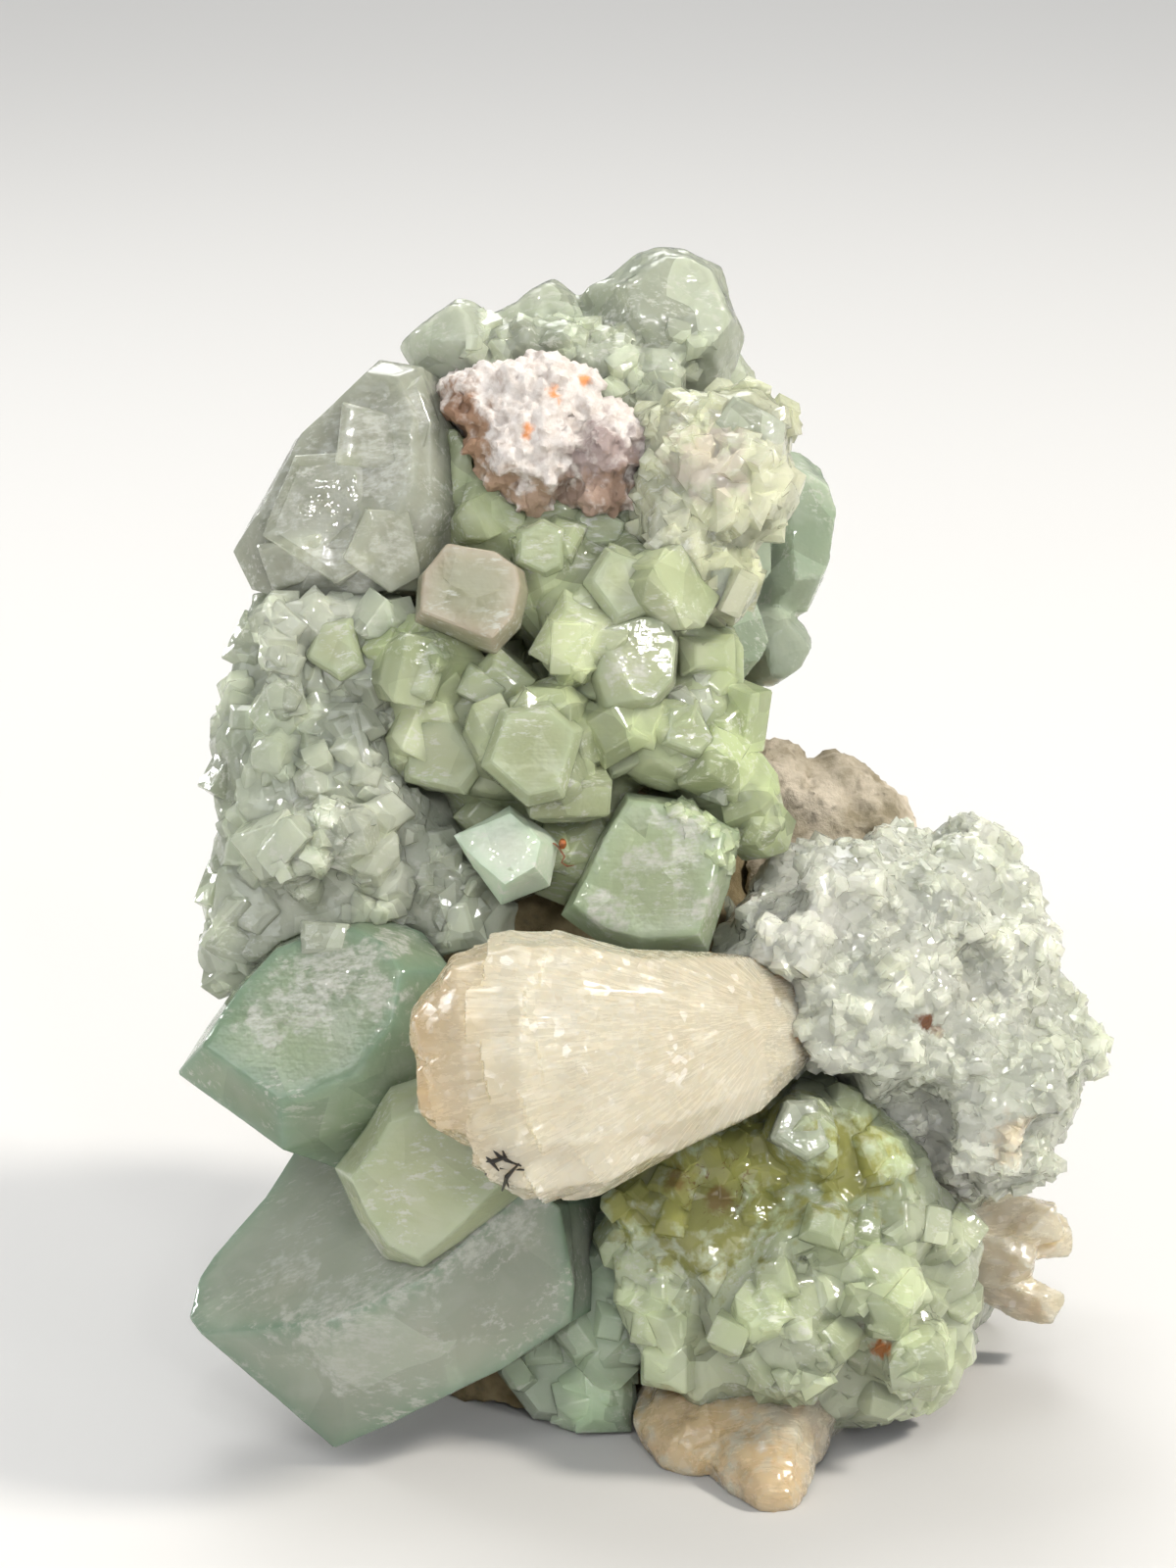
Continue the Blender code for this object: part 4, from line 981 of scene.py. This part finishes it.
def build_object():
    clear_crystal("apophyllite_great_blade", "blade")
    clear_crystal("apophyllite_green_block", "block")
    clear_crystal("apophyllite_yellow_cube", "yellow block", 0.06)
    clear_crystal("apophyllite_mint_point", "mint", 0.06,
                  cut=((-0.25, -1.0, 0.55), 2.6))
    skin = clear_crystal("apophyllite_big_rhomb", "rhomb", 0.08)
    crisp_crystals("rhomb_sparkles", skin, "rhomb", 700, 1.2, 0.4, 0.28,
                   around((732, 842, 3.2), (750, 890, 2.8), (700, 822, 2.2)), 27)
    clear_crystal("apophyllite_pale_cube", "yellow block", 0.05,
                  cut=((-0.40, -1.0, 0.05), 0.9))
    clear_crystal("stilbite_pink_block", "pink block", 0.05, 1.0, 0.3 * MM)
    clear_crystal("apophyllite_left_plate", "plate", 0.06)
    set_crystals("plate_steps", PLATE_STEPS, "plate")
    skin = clear_crystal("apophyllite_base", "green", 0.08)
    crisp_crystals("base_blocks", skin, "green", 40, 3.4, 0.25, 0.22,
                   everywhere, 28, 0.10)

    sparkle = around((520, 345, 4), (560, 350, 5), (600, 355, 5), (640, 375, 5), (690, 385, 4))
    skin = crystal_group("apophyllite_crown", "clear", 0.22,
                         [(6.0, 1.0, 0.0, everywhere), (1.5, 0.5, 0.3, sparkle),
                          (1.1, 0.08, 0.2, everywhere)], close=0.5)
    crisp_crystals("crown_sparkles", skin, "clear", 700, 1.7, 0.45, 0.25,
                   sparkle, 21)
    skin = crystal_group("apophyllite_shoulder", "shoulder", 0.20,
                         [(3.4, 1.0, 0.05, everywhere), (1.1, 0.25, 0.3, everywhere)],
                         close=0.8, soften=4)
    crisp_crystals("shoulder_crystals", skin, "shoulder", 420, 2.3, 0.35,
                   0.36, everywhere, 22)
    kept_clear = around((500, 400, 6), (480, 430, 6), (520, 480, 6), (590, 490, 6),
                        (578, 868, 4), (545, 790, 4.5), (648, 672, 4), (530, 860, 4))
    skin = crystal_group("apophyllite_centre", "olive", 0.30,
                         [(7.0, 1.0, 0.1, everywhere), (2.4, 0.20, 0.0, everywhere),
                          (1.1, 0.05, 0.1, everywhere)], None, 1.0, 3)
    crisp_crystals("centre_blocks", skin, "olive", 210, 4.2, 0.16, 0.22,
                   lambda points: 1 - kept_clear(points), 31, 0.12)
    set_crystals("centre_crystals", CENTRE_CRYSTALS, "yellow block")
    set_crystals("front_crystals", CLEAR_CRYSTALS, "clear")
    rosettes = around((350, 850, 7), (420, 880, 6), (300, 880, 5), (350, 770, 5), (380, 730, 4))
    skin = crystal_group("apophyllite_left_flank", "clear", 0.28,
                         [(5.0, 1.3, 0.0, everywhere), (1.3, 0.3, 0.3, rosettes),
                          (1.0, 0.10, 0.2, everywhere)],
                         None, 0.8, 3)
    crisp_crystals("flank_blocks", skin, "clear", 210, 3.1, 0.22, 0.26,
                   everywhere, 32, 0.10)
    crisp_crystals("flank_crystals", skin, "clear", 1100, 1.9, 0.35,
                   0.34, rosettes, 23)
    skin = crystal_group("apophyllite_dome", "sugary", 0.30,
                         [(3.2, 0.7, 0.1, everywhere), (1.2, 0.4, 0.3, everywhere)],
                         close=1.6, soften=12)
    crisp_crystals("dome_crystals", skin, "sugary", 3800, 1.25, 0.35,
                   0.30, everywhere, 24)
    near_dome = around((735, 845, 4), (785, 868, 3), (745, 795, 3), (700, 700, 4), (760, 870, 3))
    crisp_crystals("seam_crystals", bpy.data.objects["apophyllite_centre_skin"],
                   "clear", 900, 1.6, 0.45, 0.25, near_dome, 25)
    blades = rayed(770, 1190, 12, 3.0)
    skin = crystal_group("apophyllite_fan", "fan", 0.30,
                         [(4.2, 1.3, 0.05, everywhere, blades),
                          (2.0, 0.3, 0.1, everywhere, blades), (1.2, 0.10, 0.2, everywhere)],
                         None, 1.0, 4)
    fan_clear = around((818, 1152, 3.4), (825, 1272, 2.8), (878, 1345, 1.6))
    crisp_crystals("fan_blocks", skin, "fan", 260, 3.3, 0.20, 0.25,
                   lambda points: 1 - fan_clear(points), 33, 0.10)
    grainy = around((930, 1290, 9), (880, 1400, 8), (800, 1420, 6), (900, 1200, 5))
    crisp_crystals("fan_crystals", skin, "fan", 900, 1.9, 0.30, 0.38,
                   grainy, 26)
    crystal_group("apophyllite_back_right", "green", 0.30,
                  [(4.0, 0.4, 0.0, everywhere), (1.4, 0.08, 0.2, everywhere)])
    crystal_group("apophyllite_right_side", "green", 0.30,
                  [(4.0, 0.4, 0.0, everywhere), (1.4, 0.08, 0.2, everywhere)])
    for node, slot, finish in (
            ("apophyllite_back_top", "clear_apophyllite", "clear"),
            ("apophyllite_back_left", "green_apophyllite", "green"),
            ("apophyllite_back_low", "clear_apophyllite", "clear")):
        crystal_group(node, finish, 0.34,
                      [(4.0, 0.5, 0.0, everywhere), (1.4, 0.15, 0.2, everywhere)],
                      (120, 2.6, 0.3, 0.32))

    stilbite_sheaf()
    for node, finish, spacing, amount in (
            ("stilbite_foot", "foot", 4.0, 1.1), ("stilbite_sprig", "stilbite", 2.2, 0.45),
            ("stilbite_spray", "stilbite", 2.2, 0.45)):
        crystal_group(node, finish, 0.22,
                      [(spacing, amount, 0.0, everywhere), (1.3, 0.12, 0.2, everywhere)],
                      blades=(0.25, 1.0, 1.0))
    skin = rough_skin("matrix_rock", "rock", 0.55,
                      ((7.0, 0.9), (2.2, 0.6), (0.9, 0.35)))
    crisp_crystals("rock_crystals", skin, "clear", 900, 2.0, 0.35, 0.25,
                   lambda points: soft_noise(points, 11 * MM, 4) > 0.10, 41)
    rough_skin("pale_rock", "pale rock", 0.36,
               ((4.0, 0.7), (1.4, 0.5), (0.6, 0.3)))
    rough_skin("druse_crust", "druse", 0.24,
               ((2.5, 0.6), (0.9, 0.4), (0.4, 0.25)), (500, 0.9, 0.6, 0.1))
    small_finds()


# Studio

def area_light(name, place, size, watts, colour=(1, 1, 1)):
    lamp = bpy.data.lights.new(name, "AREA")
    lamp.size = size
    lamp.energy = watts
    lamp.color = colour
    item = bpy.data.objects.new(name, lamp)
    item.location = place
    aim = Vector((0, 0, 0.05)) - Vector(place)
    item.rotation_euler = aim.to_track_quat("-Z", "Y").to_euler()
    bpy.context.scene.collection.objects.link(item)


def studio():
    scene = bpy.context.scene
    scene.view_settings.view_transform = "Standard"
    scene.cycles.max_bounces = 3
    scene.cycles.diffuse_bounces = 1
    scene.cycles.glossy_bounces = 1
    scene.cycles.caustics_reflective = False
    scene.cycles.transmission_bounces = 3
    camera = bpy.data.cameras.new("camera")
    camera.sensor_width = SENSOR_MM
    half_height = PHOTO_PIXELS[1] / 2 * PIXEL
    camera.lens = SENSOR_MM / 2 * VIEW_DISTANCE / half_height
    camera.clip_start = 0.01
    camera.clip_end = 50
    eye = bpy.data.objects.new("camera", camera)
    eye.location = EYE
    eye.rotation_euler = (math.pi / 2 - VIEW_PITCH, 0, 0)
    scene.collection.objects.link(eye)
    scene.camera = eye

    bm = bmesh.new()
    bmesh.ops.create_grid(bm, x_segments=1, y_segments=1, size=8.0)
    floor = bpy.data.objects.new("floor", to_mesh(bm, "floor"))
    scene.collection.objects.link(floor)
    paint = Nodes("floor_paint")
    paint.set("Base Color", (0.68, 0.67, 0.65, 1))
    paint.set("Roughness", 0.7)
    floor.data.materials.append(paint.material)

    world = bpy.data.worlds.new("studio")
    world.use_nodes = True
    tree = world.node_tree
    direction = tree.nodes.new("ShaderNodeTexCoord")
    split = tree.nodes.new("ShaderNodeSeparateXYZ")
    tree.links.new(direction.outputs["Generated"], split.inputs[0])
    height = tree.nodes.new("ShaderNodeMapRange")
    height.inputs["From Min"].default_value = -0.1
    height.inputs["From Max"].default_value = 0.9
    height.inputs["To Min"].default_value = 0.24
    height.inputs["To Max"].default_value = 0.40
    tree.links.new(split.outputs["Z"], height.inputs["Value"])
    background = tree.nodes["Background"]
    background.inputs["Color"].default_value = (0.96, 0.98, 1.0, 1)
    tree.links.new(height.outputs[0], background.inputs["Strength"])
    scene.world = world
    area_light("key", (0.80, -0.20, 0.85), 0.16, 9.6, (1.0, 0.95, 0.87))
    area_light("fill", (-0.80, -0.90, 0.60), 0.60, 2.6, (0.97, 0.99, 1.0))
    area_light("top", (-0.20, 0.45, 1.10), 0.45, 3.4)
    area_light("far", (0.0, 2.4, 2.2), 1.5, 30.0)
    area_light("far_front", (0.0, -3.0, 2.6), 1.5, 15.0)
    area_light("side", (-0.70, 0.35, 0.30), 0.15, 1.6)
    area_light("front", (0.30, -1.00, 0.55), 0.12, 1.6)
    for number, place in enumerate(((-0.50, -0.90, 0.90), (0.65, -0.80, 0.35), (0.05, -0.70, 1.10))):
        area_light("glint_%d" % number, place, 0.05, 0.9)


build_object()
studio()

bpy.context.view_layer.update()
